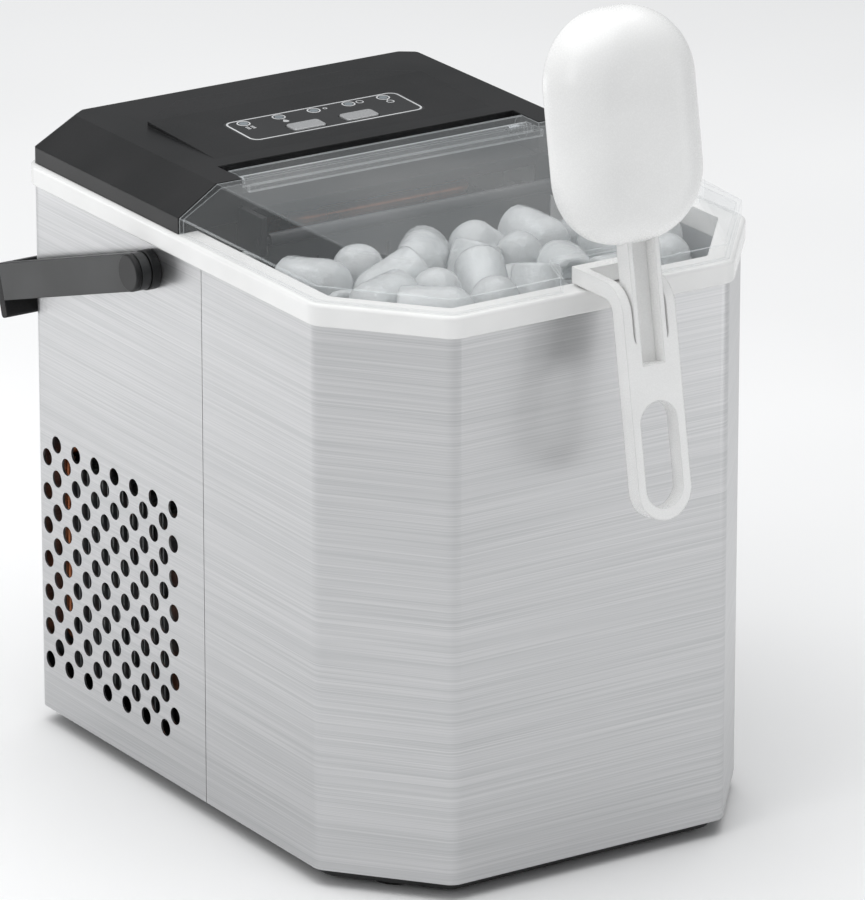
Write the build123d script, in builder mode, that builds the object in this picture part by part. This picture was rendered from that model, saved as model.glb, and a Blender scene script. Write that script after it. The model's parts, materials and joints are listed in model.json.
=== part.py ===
"""Countertop bullet-ice maker, in millimetres.

Frame: X to the right, the front faces -Y, +Z up. The origin is on the floor, under the middle of
the housing. The housing is a stainless tub with two cut front corners, a white rim band, a black
hipped cover behind and a clear hipped lid in front. Under the lid lie the ice basket and the
finger evaporator with its tilting water tray; the refrigeration unit stands behind them.
"""
import math
import os

from build123d import *

os.makedirs("parts", exist_ok=True)

# ---------------------------------------------------------------- driving dimensions
WIDTH = 222.0
DEPTH = 290.0
CUT_X = 40.0                    # cut front corners, measured along X and Y
CUT_Y = 48.0
CORNER_R = 8.0
SHEET = 1.0                     # stainless sheet

SHELL_Z = 8.0
SHELL_TOP = 259.0
BAND_TOP = 269.0
BAND_PROUD = 2.0
SKIRT_TOP = 276.5
ROOF_Z = 289.0
ROOF_WALL = 2.5
ROOF_SIDE = 19.5                # how far the hipped faces lean in at the sides
ROOF_FRONT = 25.0

SEAM_Y = -4.0
LID_REAR_Y = 14.0               # rear edge of the lid's hipped part
COVER_FRONT_Y = 15.0
RECESS_HALF = 78.0              # hinge recess in the cover
RECESS_REAR_Y = 36.0
RECESS_FLOOR_Z = 274.0
HINGE_Y = 28.0
HINGE_Z = 283.0
HINGE_R = 5.3
PIN_R = 2.0
RUNNING = 0.06                  # radial clearance of a pin in its bore

TANK_INSET = 8.0
TANK_WALL = 2.0
TANK_FLOOR = 75.0
TANK_REAR_Y = 78.0
STEP_Y = 22.0                   # the deep part of the tank ends here
STEP_LOW = 150.0
STEP_HIGH = 186.0

TRAY_Y = 40.0                   # tilting tray and its shaft
TRAY_Z = 246.0
TRAY_R = 32.5
TRAY_HALF = 76.0
SHAFT_R = 4.0

FAN_Y = 80.0
FAN_Z = 80.0
COMPRESSOR_X = 38.0
COMPRESSOR_Y = 86.0

HANDLE_Y = 38.0
HANDLE_Z = 247.0
HANDLE_DROOP = 17.5             # degrees below level, at rest
ARM_X = 116.0                   # inner face of an arm
ARM_T = 4.5
ARM_W = 17.0
PIVOT_R = 5.0

SCOOP_X = 8.0
SCOOP_TILT = 9.85
SCOOP_TIP_Y = -191.5
SCOOP_TIP_Z = 176.0
SCOOP_W = 27.0
SCOOP_T = 8.0

HALF_W = WIDTH / 2
HALF_D = DEPTH / 2
FLOOR_CORNERS = [
    (-HALF_W, CUT_Y - HALF_D),
    (CUT_X - HALF_W, -HALF_D),
    (HALF_W - CUT_X, -HALF_D),
    (HALF_W, CUT_Y - HALF_D),
    (HALF_W, HALF_D),
    (-HALF_W, HALF_D),
]


# ---------------------------------------------------------------- shared shapes
def housing_plan(z, inset=0.0, corner=CORNER_R):
    """Plan outline of the housing at height z, moved inward by inset."""
    with BuildSketch(Plane.XY.offset(z)) as plan:
        with BuildLine():
            Polyline(*FLOOR_CORNERS, close=True)
        make_face()
        if inset:
            offset(amount=-inset, kind=Kind.INTERSECTION)
        fillet(plan.vertices(), radius=corner)
    return plan.sketch


def roof_plan(z, side, front, rear, wall):
    """Eight-sided outline of the cover and lid at height z; side, front and rear lean in."""
    x = HALF_W - side
    cut_x = HALF_W - CUT_X + front * 0.16
    cut_y = HALF_D - CUT_Y - side * 0.05
    back = HALF_D - rear
    half = [(cut_x, front - HALF_D), (x, -cut_y), (x, back - 5), (x - 7, back)]
    other = [(-px, py) for px, py in reversed(half)]
    with BuildSketch(Plane.XY.offset(z)) as plan:
        with BuildLine():
            Polyline(*half, *other, close=True)
        make_face()
        if wall:
            offset(amount=-wall, kind=Kind.INTERSECTION)
        fillet(plan.vertices(), radius=3.0)
    return plan.sketch


def roof_block(wall, y_low, y_high):
    """Skirt and hipped roof as one block between two Y planes, drawn inward by wall."""
    eaves = SKIRT_TOP - wall * 0.35
    ridge = ROOF_Z - wall
    with BuildPart() as block:
        extrude(roof_plan(BAND_TOP, 0, 0, 0, wall), amount=eaves - BAND_TOP)
        loft([roof_plan(eaves, 0, 0, 0, wall), roof_plan(ridge, ROOF_SIDE, ROOF_FRONT, 3.0, wall)])
        split(bisect_by=Plane((0, y_low, 0), z_dir=(0, 1, 0)), keep=Keep.TOP)
        split(bisect_by=Plane((0, y_high, 0), z_dir=(0, 1, 0)), keep=Keep.BOTTOM)
    return block.part


def side_plane(x, y=0.0, z=0.0, turn=0.0):
    """Plane across X at a point: local x runs along +Y, turned about X, and local y up."""
    c = math.cos(math.radians(turn))
    s = math.sin(math.radians(turn))
    return Plane(origin=(x, y, z), x_dir=(0, c, s), z_dir=(1, 0, 0))


def pipe(points, radius, bend):
    """Round pipe through the points, with one bend radius."""
    with BuildPart() as run:
        with BuildLine() as route:
            FilletPolyline(*points, radius=bend)
        start = Plane(origin=route.line @ 0, z_dir=route.line % 0)
        with BuildSketch(start) as bore:
            Circle(radius)
        sweep(bore.sketch, path=route.line)
    return run.part


# ---------------------------------------------------------------- base
PAN_TOP = 22.0
PAN_FLOOR = 11.0

with BuildPart() as base_pan:
    extrude(housing_plan(3.0, inset=7.0), amount=SHELL_Z - 3.0)
    extrude(housing_plan(SHELL_Z, inset=1.3, corner=7.0), amount=PAN_TOP - SHELL_Z)
    extrude(housing_plan(PAN_FLOOR, inset=4.0, corner=5.0), amount=20, mode=Mode.SUBTRACT)
    with BuildSketch(Plane.XY.offset(PAN_FLOOR)):
        with Locations((COMPRESSOR_X, COMPRESSOR_Y)):
            with GridLocations(88, 76, 2, 2):
                Circle(7.0)
    extrude(amount=3.0)
base_pan.part.label = "base_pan"
export_step(base_pan.part, "parts/base_pan.step")

with BuildPart() as rubber_feet:
    with BuildSketch(Plane.XY):
        with GridLocations(150, 210, 2, 2):
            Circle(11.0)
    extrude(amount=3.0, taper=-8)
rubber_feet.part.label = "rubber_feet"
export_step(rubber_feet.part, "parts/rubber_feet.step")


# ---------------------------------------------------------------- stainless shells
VENT_R = 4.0
VENT_PITCH_Y = 8.5              # half of a column's pitch along Y
VENT_PITCH_Z = 8.2
VENT_REAR_Y = 132.7
VENT_LOW_Z = 32.5
VENT_ROWS = 7
VENT_PAIRS = 7
DRAIN_Y = 8.0
DRAIN_Z = 36.0
GLAND_X = -20.0
GLAND_Z = 36.0
SCREW_X = 95.0
SCREW_LOW_Z = 30.0
SCREW_HIGH_Z = 245.0
seam = Plane((0, SEAM_Y, 0), z_dir=(0, 1, 0))

with BuildPart() as front_shell:
    extrude(housing_plan(SHELL_Z), amount=SHELL_TOP - SHELL_Z)
    extrude(
        housing_plan(SHELL_Z, inset=SHEET, corner=CORNER_R - SHEET),
        amount=SHELL_TOP - SHELL_Z,
        mode=Mode.SUBTRACT,
    )
    split(bisect_by=seam.offset(-0.2), keep=Keep.BOTTOM)
front_shell.part.label = "front_shell"
export_step(front_shell.part, "parts/front_shell.step")

with BuildPart() as rear_shell:
    extrude(housing_plan(SHELL_Z), amount=SHELL_TOP - SHELL_Z)
    extrude(
        housing_plan(SHELL_Z, inset=SHEET, corner=CORNER_R - SHEET),
        amount=SHELL_TOP - SHELL_Z,
        mode=Mode.SUBTRACT,
    )
    split(bisect_by=seam.offset(0.2), keep=Keep.TOP)
    # two staggered fields of round vents, through both side walls
    vent_mid_y = VENT_REAR_Y - VENT_PITCH_Y * (VENT_PAIRS - 1)
    vent_mid_z = VENT_LOW_Z + VENT_PITCH_Z * (VENT_ROWS - 1)
    with BuildSketch(Plane.YZ):
        second = (vent_mid_y - VENT_PITCH_Y, vent_mid_z + VENT_PITCH_Z)
        with Locations((vent_mid_y, vent_mid_z), second):
            with GridLocations(2 * VENT_PITCH_Y, 2 * VENT_PITCH_Z, VENT_PAIRS, VENT_ROWS):
                Circle(VENT_R)
        with Locations((HANDLE_Y, HANDLE_Z)):
            Circle(PIVOT_R)
    extrude(amount=HALF_W + 5, both=True, mode=Mode.SUBTRACT)
    with BuildSketch(side_plane(0, DRAIN_Y, DRAIN_Z)):
        Circle(7.0)
    extrude(amount=HALF_W + 5, mode=Mode.SUBTRACT)
    with BuildSketch(Plane((0, HALF_D - 5, 0), x_dir=(1, 0, 0), z_dir=(0, -1, 0))):
        with Locations((GLAND_X, GLAND_Z)):
            Circle(8.0)
        with Locations((0, (SCREW_LOW_Z + SCREW_HIGH_Z) / 2)):
            with GridLocations(2 * SCREW_X, SCREW_HIGH_Z - SCREW_LOW_Z, 2, 2):
                Circle(1.8)
    extrude(amount=-10, mode=Mode.SUBTRACT)
rear_shell.part.label = "rear_shell"
export_step(rear_shell.part, "parts/rear_shell.step")

with BuildPart() as shell_screws:
    with BuildSketch(Plane((0, HALF_D + 2.2, 0), x_dir=(1, 0, 0), z_dir=(0, -1, 0))):
        with Locations((0, (SCREW_LOW_Z + SCREW_HIGH_Z) / 2)):
            with GridLocations(2 * SCREW_X, SCREW_HIGH_Z - SCREW_LOW_Z, 2, 2):
                Circle(3.6)
    extrude(amount=2.2)
    with BuildSketch(Plane((0, HALF_D, 0), x_dir=(1, 0, 0), z_dir=(0, -1, 0))):
        with Locations((0, (SCREW_LOW_Z + SCREW_HIGH_Z) / 2)):
            with GridLocations(2 * SCREW_X, SCREW_HIGH_Z - SCREW_LOW_Z, 2, 2):
                Circle(1.7)
    extrude(amount=9.0)
shell_screws.part.label = "shell_screws"
export_step(shell_screws.part, "parts/shell_screws.step")


# ---------------------------------------------------------------- rim band
LIP_Z = 254.0

with BuildPart() as rim_band:
    extrude(
        housing_plan(SHELL_TOP, inset=-BAND_PROUD, corner=CORNER_R + BAND_PROUD),
        amount=BAND_TOP - SHELL_TOP,
    )
    fillet(rim_band.faces().sort_by(Axis.Z)[-1].edges(), radius=1.8)
    fillet(rim_band.faces().sort_by(Axis.Z)[0].edges(), radius=0.8)
    extrude(housing_plan(LIP_Z, inset=1.3, corner=7.0), amount=SHELL_TOP - LIP_Z)
    extrude(housing_plan(LIP_Z, inset=4.2, corner=5.0), amount=SHELL_TOP - LIP_Z, mode=Mode.SUBTRACT)
    extrude(housing_plan(SHELL_TOP, inset=10.0, corner=4.0), amount=20, mode=Mode.SUBTRACT)
rim_band.part.label = "rim_band"
export_step(rim_band.part, "parts/rim_band.step")


# ---------------------------------------------------------------- top cover
PANEL_FRONT_Y = 46.0            # the raised middle panel rises from flush here
PANEL_HIGH_Y = 104.0
PANEL_REAR_Y = 124.0
PANEL_RISE = 2.2
PANEL_HALF = 73.0
KEYPAD_Y = 71.5
KEYPAD_W = 93.0
KEYPAD_D = 29.0
KEY_X = 14.0
KEY_DROP = -7.0                 # keys lie in front of the keypad's middle
KEY_W = 17.0
KEY_D = 9.0
LENS_PITCH = 18.5
LENS_UP = 9.0
LENS_R = 2.0
PANEL_SLOPE = math.degrees(math.atan2(PANEL_RISE, PANEL_HIGH_Y - PANEL_FRONT_Y))
keypad_z = ROOF_Z + PANEL_RISE * (KEYPAD_Y - PANEL_FRONT_Y) / (PANEL_HIGH_Y - PANEL_FRONT_Y)
panel_plane = Plane(
    origin=(0, KEYPAD_Y, keypad_z),
    x_dir=(1, 0, 0),
    z_dir=(0, -math.sin(math.radians(PANEL_SLOPE)), math.cos(math.radians(PANEL_SLOPE))),
)
OVERLAY_T = 0.6
FLAP_Z = 264.0                  # pivot of the curtain flap, at Y = 0
FLAP_PIN_R = 1.5

roof_outside = roof_block(0.0, COVER_FRONT_Y, HALF_D + 1)
roof_inside = roof_block(ROOF_WALL, COVER_FRONT_Y + ROOF_WALL, HALF_D + 1)

with BuildPart() as top_cover:
    add(roof_outside)
    add(roof_inside, mode=Mode.SUBTRACT)
    # raised middle panel, a thin wedge that runs out flush at its front
    with BuildSketch(Plane.YZ):
        with BuildLine():
            Polyline(
                (PANEL_FRONT_Y, ROOF_Z - 0.5),
                (PANEL_FRONT_Y, ROOF_Z),
                (PANEL_HIGH_Y, ROOF_Z + PANEL_RISE),
                (PANEL_REAR_Y, ROOF_Z + PANEL_RISE),
                (PANEL_REAR_Y, ROOF_Z - 0.5),
                close=True,
            )
        make_face()
    extrude(amount=PANEL_HALF, both=True)
    with BuildSketch(Plane.XY.offset(ROOF_Z + 0.01)):
        with BuildLine():
            Polyline((PANEL_HALF, PANEL_HIGH_Y), (46, PANEL_REAR_Y), (90, PANEL_REAR_Y + 1), close=True)
        make_face()
        mirror(about=Plane.YZ)
    extrude(amount=5, mode=Mode.SUBTRACT)
    # hinge recess: a boxed well in the front edge, with bosses for the pins
    with BuildSketch(Plane.XY.offset(RECESS_FLOOR_Z - ROOF_WALL)):
        with Locations((0, (COVER_FRONT_Y + RECESS_REAR_Y + ROOF_WALL) / 2)):
            Rectangle(2 * (RECESS_HALF + ROOF_WALL), RECESS_REAR_Y + ROOF_WALL - COVER_FRONT_Y)
    extrude(amount=ROOF_Z - 1 - RECESS_FLOOR_Z + ROOF_WALL)
    with BuildSketch(side_plane(0, HINGE_Y, HINGE_Z)):
        Circle(5.0)
    extrude(amount=RECESS_HALF + 6.0, both=True)
    with BuildSketch(Plane.XY.offset(RECESS_FLOOR_Z)):
        with Locations((0, (COVER_FRONT_Y - 20 + RECESS_REAR_Y) / 2)):
            Rectangle(2 * RECESS_HALF, RECESS_REAR_Y - COVER_FRONT_Y + 20)
    extrude(amount=30, mode=Mode.SUBTRACT)
    # two arms that carry the curtain flap
    with BuildSketch(Plane.XY.offset(BAND_TOP - 11)):
        with Locations((-RECESS_HALF - 0.5, 6.5), (RECESS_HALF + 0.5, 6.5)):
            Rectangle(3.0, 21.0)
    extrude(amount=18)
    with BuildSketch(Plane.YZ):
        with Locations((HINGE_Y, HINGE_Z)):
            Circle(PIN_R)
        with Locations((0, FLAP_Z)):
            Circle(FLAP_PIN_R + RUNNING)
    extrude(amount=RECESS_HALF + 8, both=True, mode=Mode.SUBTRACT)
    # keypad: a shallow pocket, two key wells and five lamp holes
    with BuildSketch(panel_plane.offset(-OVERLAY_T)):
        RectangleRounded(KEYPAD_W, KEYPAD_D, 5.0)
    extrude(amount=5, mode=Mode.SUBTRACT)
    with BuildSketch(panel_plane.offset(-8)):
        with Locations((-KEY_X, KEY_DROP), (KEY_X, KEY_DROP)):
            RectangleRounded(KEY_W + 0.8, KEY_D + 0.8, 2.4)
        with Locations((0, LENS_UP)):
            with GridLocations(LENS_PITCH, 1, 5, 1):
                Circle(LENS_R)
    extrude(amount=16, mode=Mode.SUBTRACT)
top_cover.part.label = "top_cover"
export_step(top_cover.part, "parts/top_cover.step")

with BuildPart() as keypad_overlay:
    with BuildSketch(panel_plane.offset(-OVERLAY_T)):
        RectangleRounded(KEYPAD_W, KEYPAD_D, 5.0)
        with Locations((-KEY_X, KEY_DROP), (KEY_X, KEY_DROP)):
            RectangleRounded(KEY_W + 0.8, KEY_D + 0.8, 2.4, mode=Mode.SUBTRACT)
        with Locations((0, LENS_UP)):
            with GridLocations(LENS_PITCH, 1, 5, 1):
                Circle(LENS_R, mode=Mode.SUBTRACT)
    extrude(amount=OVERLAY_T)
keypad_overlay.part.label = "keypad_overlay"
export_step(keypad_overlay.part, "parts/keypad_overlay.step")

LENS_L = 6.0

with BuildPart() as indicator_lenses:
    with BuildSketch(panel_plane.offset(-LENS_L + 0.1)):
        with Locations((0, LENS_UP)):
            with GridLocations(LENS_PITCH, 1, 5, 1):
                Circle(LENS_R)
    extrude(amount=LENS_L)
indicator_lenses.part.label = "indicator_lenses"
export_step(indicator_lenses.part, "parts/indicator_lenses.step")

KEY_PROUD = 0.8
KEY_TRAVEL = 0.7
BOARD_DEPTH = 11.0              # control board's face below the keypad
SWITCH_H = 3.5

with BuildPart() as power_button:
    with BuildSketch(panel_plane.offset(-3.0)):
        with Locations((-KEY_X, KEY_DROP)):
            RectangleRounded(KEY_W, KEY_D, 2.0)
    extrude(amount=3.0 + KEY_PROUD)
    fillet(power_button.faces().sort_by(Axis.Z)[-1].edges(), radius=0.5)
    with BuildSketch(panel_plane.offset(-3.0)):
        with Locations((-KEY_X, KEY_DROP)):
            Circle(2.0)
    extrude(amount=-(BOARD_DEPTH - SWITCH_H - 3.0 - KEY_TRAVEL - 0.3))
power_button.part.label = "power_button"
export_step(power_button.part, "parts/power_button.step")

with BuildPart() as select_button:
    with BuildSketch(panel_plane.offset(-3.0)):
        with Locations((KEY_X, KEY_DROP)):
            RectangleRounded(KEY_W, KEY_D, 2.0)
    extrude(amount=3.0 + KEY_PROUD)
    fillet(select_button.faces().sort_by(Axis.Z)[-1].edges(), radius=0.5)
    with BuildSketch(panel_plane.offset(-3.0)):
        with Locations((KEY_X, KEY_DROP)):
            Circle(2.0)
    extrude(amount=-(BOARD_DEPTH - SWITCH_H - 3.0 - KEY_TRAVEL - 0.3))
select_button.part.label = "select_button"
export_step(select_button.part, "parts/select_button.step")

with BuildPart() as control_board:
    with BuildSketch(panel_plane.offset(-BOARD_DEPTH)):
        Rectangle(88, 30)
        with GridLocations(80, 22, 2, 2):
            Circle(1.6, mode=Mode.SUBTRACT)
    extrude(amount=-1.6)
    with BuildSketch(panel_plane.offset(-BOARD_DEPTH)):
        with Locations((-KEY_X, KEY_DROP), (KEY_X, KEY_DROP)):
            Rectangle(6, 6)
    extrude(amount=SWITCH_H)
    with BuildSketch(panel_plane.offset(-BOARD_DEPTH)):
        with Locations((0, LENS_UP)):
            with GridLocations(LENS_PITCH, 1, 5, 1):
                Circle(2.5)
    extrude(amount=BOARD_DEPTH - LENS_L - 0.4)
    with BuildSketch(panel_plane.offset(-BOARD_DEPTH)):
        with Locations((34, -6)):
            Rectangle(12, 8)
    extrude(amount=4)
control_board.part.label = "control_board"
export_step(control_board.part, "parts/control_board.step")

with BuildPart() as hinge_pins:
    with BuildSketch(side_plane(0, HINGE_Y, HINGE_Z)):
        Circle(PIN_R)
    extrude(amount=RECESS_HALF + 5.5, both=True)
    with BuildSketch(side_plane(0, HINGE_Y, HINGE_Z)):
        Circle(PIN_R + 1)
    extrude(amount=RECESS_HALF - 8.0, both=True, mode=Mode.SUBTRACT)
hinge_pins.part.label = "hinge_pins"
export_step(hinge_pins.part, "parts/hinge_pins.step")


# ---------------------------------------------------------------- lid
LID_WALL = 2.2
NOTCH_X = 8.0
NOTCH_W = 47.0
NOTCH_DEPTH = 11.0
LID_GAP = 0.5                   # between the lid's edge and the rim band
BARREL_HALF = RECESS_HALF - 0.8

lid_outside = roof_block(0.0, -HALF_D - 1, LID_REAR_Y)
lid_inside = roof_block(LID_WALL, -HALF_D - 1, LID_REAR_Y + 1)

with BuildPart() as lid:
    add(lid_outside)
    add(lid_inside, mode=Mode.SUBTRACT)
    with BuildSketch(Plane.XY.offset(BAND_TOP - 1)):
        Rectangle(2 * WIDTH, 2 * DEPTH)
    extrude(amount=1 + LID_GAP, mode=Mode.SUBTRACT)
    # rear strip and hinge barrel, inside the cover's recess
    with BuildSketch(Plane.XY.offset(ROOF_Z - LID_WALL)):
        with Locations((0, (HINGE_Y + LID_REAR_Y - 6) / 2)):
            Rectangle(2 * BARREL_HALF, HINGE_Y - LID_REAR_Y + 6)
    extrude(amount=LID_WALL)
    with BuildSketch(side_plane(0, HINGE_Y, HINGE_Z)):
        Circle(HINGE_R)
    extrude(amount=BARREL_HALF, both=True)
    # stiffening ridges along the strip
    with BuildSketch(side_plane(0)):
        ridge_z = ROOF_Z - LID_WALL - 1.5
        with Locations((LID_REAR_Y - 3, ridge_z), (LID_REAR_Y + 5, ridge_z)):
            Rectangle(1.6, 3.4)
    extrude(amount=BARREL_HALF, both=True)
    with BuildSketch(side_plane(0, HINGE_Y, HINGE_Z)):
        Circle(PIN_R + RUNNING)
    extrude(amount=BARREL_HALF + 5, both=True, mode=Mode.SUBTRACT)
    # finger notch in the front face
    with BuildSketch(Plane.XY.offset(BAND_TOP)):
        with Locations((NOTCH_X, -HALF_D)):
            Rectangle(NOTCH_W, 2 * NOTCH_DEPTH)
    extrude(amount=30, mode=Mode.SUBTRACT)
lid.part.label = "lid"
export_step(lid.part, "parts/lid.step")


# ---------------------------------------------------------------- scoop
HOOK_TOP = 277.4
HOOK_T = 7.4
HOOK_END_Y = -136.5
SCOOP_SLOT_W = 18.0
BOWL_W = 72.0
BOWL_LOW = 120.0                # along the tilted handle, from its tip
BOWL_L = 102.0
BOWL_DEEP = 23.0
BOWL_FRONT = 11.0               # how far the bowl's back stands out before the handle
BOWL_WALL = 2.2
NECK_W = 16.0
NECK_DEEP = 9.0
NECK_RIB = 2.4
NECK_LOW = 73.0
NECK_TOP = BOWL_LOW + 4.0
tilt = math.radians(SCOOP_TILT)
scoop_face = Plane(
    origin=(SCOOP_X, SCOOP_TIP_Y, SCOOP_TIP_Z),
    x_dir=(1, 0, 0),
    z_dir=(0, -math.cos(tilt), math.sin(tilt)),
)


def behind_front(drop, up):
    """Point in the YZ plane, drop behind the handle's front face and up along it."""
    y = SCOOP_TIP_Y + drop * math.cos(tilt) + up * math.sin(tilt)
    z = SCOOP_TIP_Z - drop * math.sin(tilt) + up * math.cos(tilt)
    return (y, z)


def handle_height(drop, z):
    """Distance up the handle at which the line drop behind its front reaches height z."""
    return (z - SCOOP_TIP_Z + drop * math.sin(tilt)) / math.cos(tilt)


# the bowl: a deep shell with its back to the front and its mouth to the rear
with BuildPart() as scoop_bowl:
    with BuildSketch(scoop_face.offset(BOWL_FRONT - BOWL_DEEP)):
        with Locations((0, BOWL_LOW + BOWL_L / 2)):
            RectangleRounded(BOWL_W, BOWL_L, 32.0)
    extrude(amount=BOWL_DEEP)
    along_face = Axis(scoop_face.origin, scoop_face.z_dir)
    fillet(scoop_bowl.faces().sort_by(along_face)[-1].edges(), radius=20.0)
    offset(amount=-BOWL_WALL, openings=scoop_bowl.faces().sort_by(along_face)[0])

with BuildPart() as scoop:
    # handle plate, bent back over the lid's edge as a hook
    front_top = behind_front(0, handle_height(0, HOOK_TOP))
    back_top = behind_front(SCOOP_T, handle_height(SCOOP_T, HOOK_TOP - HOOK_T))
    with BuildSketch(side_plane(SCOOP_X)) as side_view:
        with BuildLine():
            Polyline(
                behind_front(0, 0),
                front_top,
                (HOOK_END_Y, HOOK_TOP),
                (HOOK_END_Y, HOOK_TOP - HOOK_T),
                back_top,
                behind_front(SCOOP_T, 0),
                close=True,
            )
        make_face()
        fillet(side_view.vertices().sort_by_distance((*front_top, 0))[0], radius=14.0)
        fillet(side_view.vertices().sort_by_distance((*back_top, 0))[0], radius=6.0)
    extrude(amount=SCOOP_W / 2, both=True)
    # rounded lower end, grip hole, and the slot that runs up and over the hook
    with BuildSketch(scoop_face.offset(5)):
        with Locations((0, SCOOP_W / 4)):
            Rectangle(SCOOP_W + 2, SCOOP_W / 2 + 1)
        with Locations((0, SCOOP_W / 2)):
            Circle(SCOOP_W / 2, mode=Mode.SUBTRACT)
        with Locations((0, 28.5)):
            SlotOverall(47.0, 19.0, rotation=90)
    extrude(amount=-20, mode=Mode.SUBTRACT)
    with BuildSketch(scoop_face.offset(5)):
        with Locations((0, 105)):
            SlotOverall(64.0, SCOOP_SLOT_W, rotation=90)
    extrude(amount=-20, mode=Mode.SUBTRACT)
    with BuildSketch(Plane.XY.offset(HOOK_TOP + 5)):
        with Locations((SCOOP_X, HOOK_END_Y - 26)):
            Rectangle(SCOOP_SLOT_W, 38)
    extrude(amount=-20, mode=Mode.SUBTRACT)
    # U-shaped neck that stands in the slot and carries the bowl
    with BuildSketch(scoop_face.offset(-NECK_DEEP)):
        with Locations((0, (NECK_LOW + NECK_TOP) / 2)):
            Rectangle(NECK_W, NECK_TOP - NECK_LOW)
    extrude(amount=NECK_DEEP)
    with BuildSketch(scoop_face.offset(-NECK_DEEP + 2.2)):
        with Locations((0, (NECK_LOW + NECK_TOP) / 2)):
            Rectangle(NECK_W - 2 * NECK_RIB, NECK_TOP + 10 - NECK_LOW)
    extrude(amount=NECK_DEEP + 5, mode=Mode.SUBTRACT)
    add(scoop_bowl.part)
scoop.part.label = "scoop"
export_step(scoop.part, "parts/scoop.step")


# ---------------------------------------------------------------- carry handle
ARM_REACH = 123.0
BAR_T = 4.0
GRIP_T = 5.0
GRIP_LOW = 16.5
HUB_R = ARM_W / 2
handle_side = side_plane(0, HANDLE_Y, HANDLE_Z, -HANDLE_DROOP)

with BuildPart() as carry_handle:
    for inner_x in (ARM_X, -ARM_X - ARM_T):
        with BuildSketch(handle_side.offset(inner_x)):
            Circle(HUB_R)
            with Locations((ARM_REACH / 2, 0)):
                Rectangle(ARM_REACH, ARM_W)
        extrude(amount=ARM_T)
    with BuildSketch(handle_side):
        with Locations((ARM_REACH - BAR_T / 2, 0)):
            Rectangle(BAR_T, ARM_W)
    extrude(amount=ARM_X + 1, both=True)
    with BuildSketch(handle_side):
        Circle(PIVOT_R + RUNNING)
    extrude(amount=HALF_W + 20, both=True, mode=Mode.SUBTRACT)
carry_handle.part.label = "carry_handle"
export_step(carry_handle.part, "parts/carry_handle.step")

with BuildPart() as handle_grip:
    with BuildSketch(handle_side):
        with Locations((ARM_REACH + GRIP_T / 2, (HUB_R - GRIP_LOW) / 2)):
            RectangleRounded(GRIP_T, HUB_R + GRIP_LOW, 1.8)
    extrude(amount=ARM_X + ARM_T, both=True)
handle_grip.part.label = "handle_grip"
export_step(handle_grip.part, "parts/handle_grip.step")

BRACKET_X = 104.0
CAP_X = ARM_X + ARM_T + 0.5

with BuildPart() as handle_pivots:
    with BuildSketch(side_plane(BRACKET_X, HANDLE_Y, HANDLE_Z)):
        Circle(PIVOT_R)
    extrude(amount=CAP_X + 1 - BRACKET_X)
    with BuildSketch(side_plane(HALF_W + 0.2, HANDLE_Y, HANDLE_Z)):
        Circle(HUB_R + 0.5)
    extrude(amount=ARM_X - 0.5 - HALF_W - 0.2)
    with BuildSketch(side_plane(CAP_X, HANDLE_Y, HANDLE_Z)):
        Circle(HUB_R)
    extrude(amount=2.5)
    fillet(handle_pivots.faces().sort_by(Axis.X)[-1].edges(), radius=1.0)
    mirror(about=Plane.YZ)
handle_pivots.part.label = "handle_pivots"
export_step(handle_pivots.part, "parts/handle_pivots.step")

with BuildPart() as handle_brackets:
    with BuildSketch(side_plane(BRACKET_X, HANDLE_Y, 242)):
        RectangleRounded(24, 23.4, 3.0)
        with Locations((0, HANDLE_Z - 242)):
            Circle(PIVOT_R, mode=Mode.SUBTRACT)
    extrude(amount=HALF_W - SHEET - 0.3 - BRACKET_X)
    mirror(about=Plane.YZ)
handle_brackets.part.label = "handle_brackets"
export_step(handle_brackets.part, "parts/handle_brackets.step")


# ---------------------------------------------------------------- water tank and insulation
FLANGE_INSET = 4.5
FLANGE_T = 2.0
TUBE_WINDOW = 46.0              # lowered part of the tank's rear wall, for the pipes
TUBE_WINDOW_Z = 256.0
DRAIN_X = 80.0
FOAM_LOW = 60.0

with BuildPart() as inner_tank:
    extrude(housing_plan(TANK_FLOOR, TANK_INSET, corner=8.0), amount=SHELL_TOP - TANK_FLOOR)
    with BuildSketch(Plane.YZ):
        with BuildLine():
            Polyline(
                (STEP_Y, TANK_FLOOR - 5),
                (STEP_Y, STEP_LOW),
                (TANK_REAR_Y, STEP_HIGH),
                (TANK_REAR_Y, SHELL_TOP + 5),
                (HALF_D + 5, SHELL_TOP + 5),
                (HALF_D + 5, TANK_FLOOR - 5),
                close=True,
            )
        make_face()
    extrude(amount=WIDTH, both=True, mode=Mode.SUBTRACT)
    offset(amount=-TANK_WALL, openings=inner_tank.faces().sort_by(Axis.Z)[-1])
    # outward flange under the rim band
    with BuildSketch(Plane.XY.offset(SHELL_TOP - FLANGE_T)):
        add(housing_plan(0, FLANGE_INSET, corner=5.0))
        add(housing_plan(0, TANK_INSET + 0.5, corner=7.0), mode=Mode.SUBTRACT)
        with Locations((0, TANK_REAR_Y + 60)):
            Rectangle(2 * WIDTH, 120, mode=Mode.SUBTRACT)
    extrude(amount=FLANGE_T)
    with BuildSketch(Plane.XY.offset(TUBE_WINDOW_Z)):
        with Locations((0, TANK_REAR_Y)):
            Rectangle(2 * TUBE_WINDOW, 12)
    extrude(amount=20, mode=Mode.SUBTRACT)
    with BuildSketch(Plane.XY.offset(TANK_FLOOR - 1)):
        with Locations((DRAIN_X, DRAIN_Y)):
            Circle(5.0)
    extrude(amount=6, mode=Mode.SUBTRACT)
inner_tank.part.label = "inner_tank"
export_step(inner_tank.part, "parts/inner_tank.step")

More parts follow.
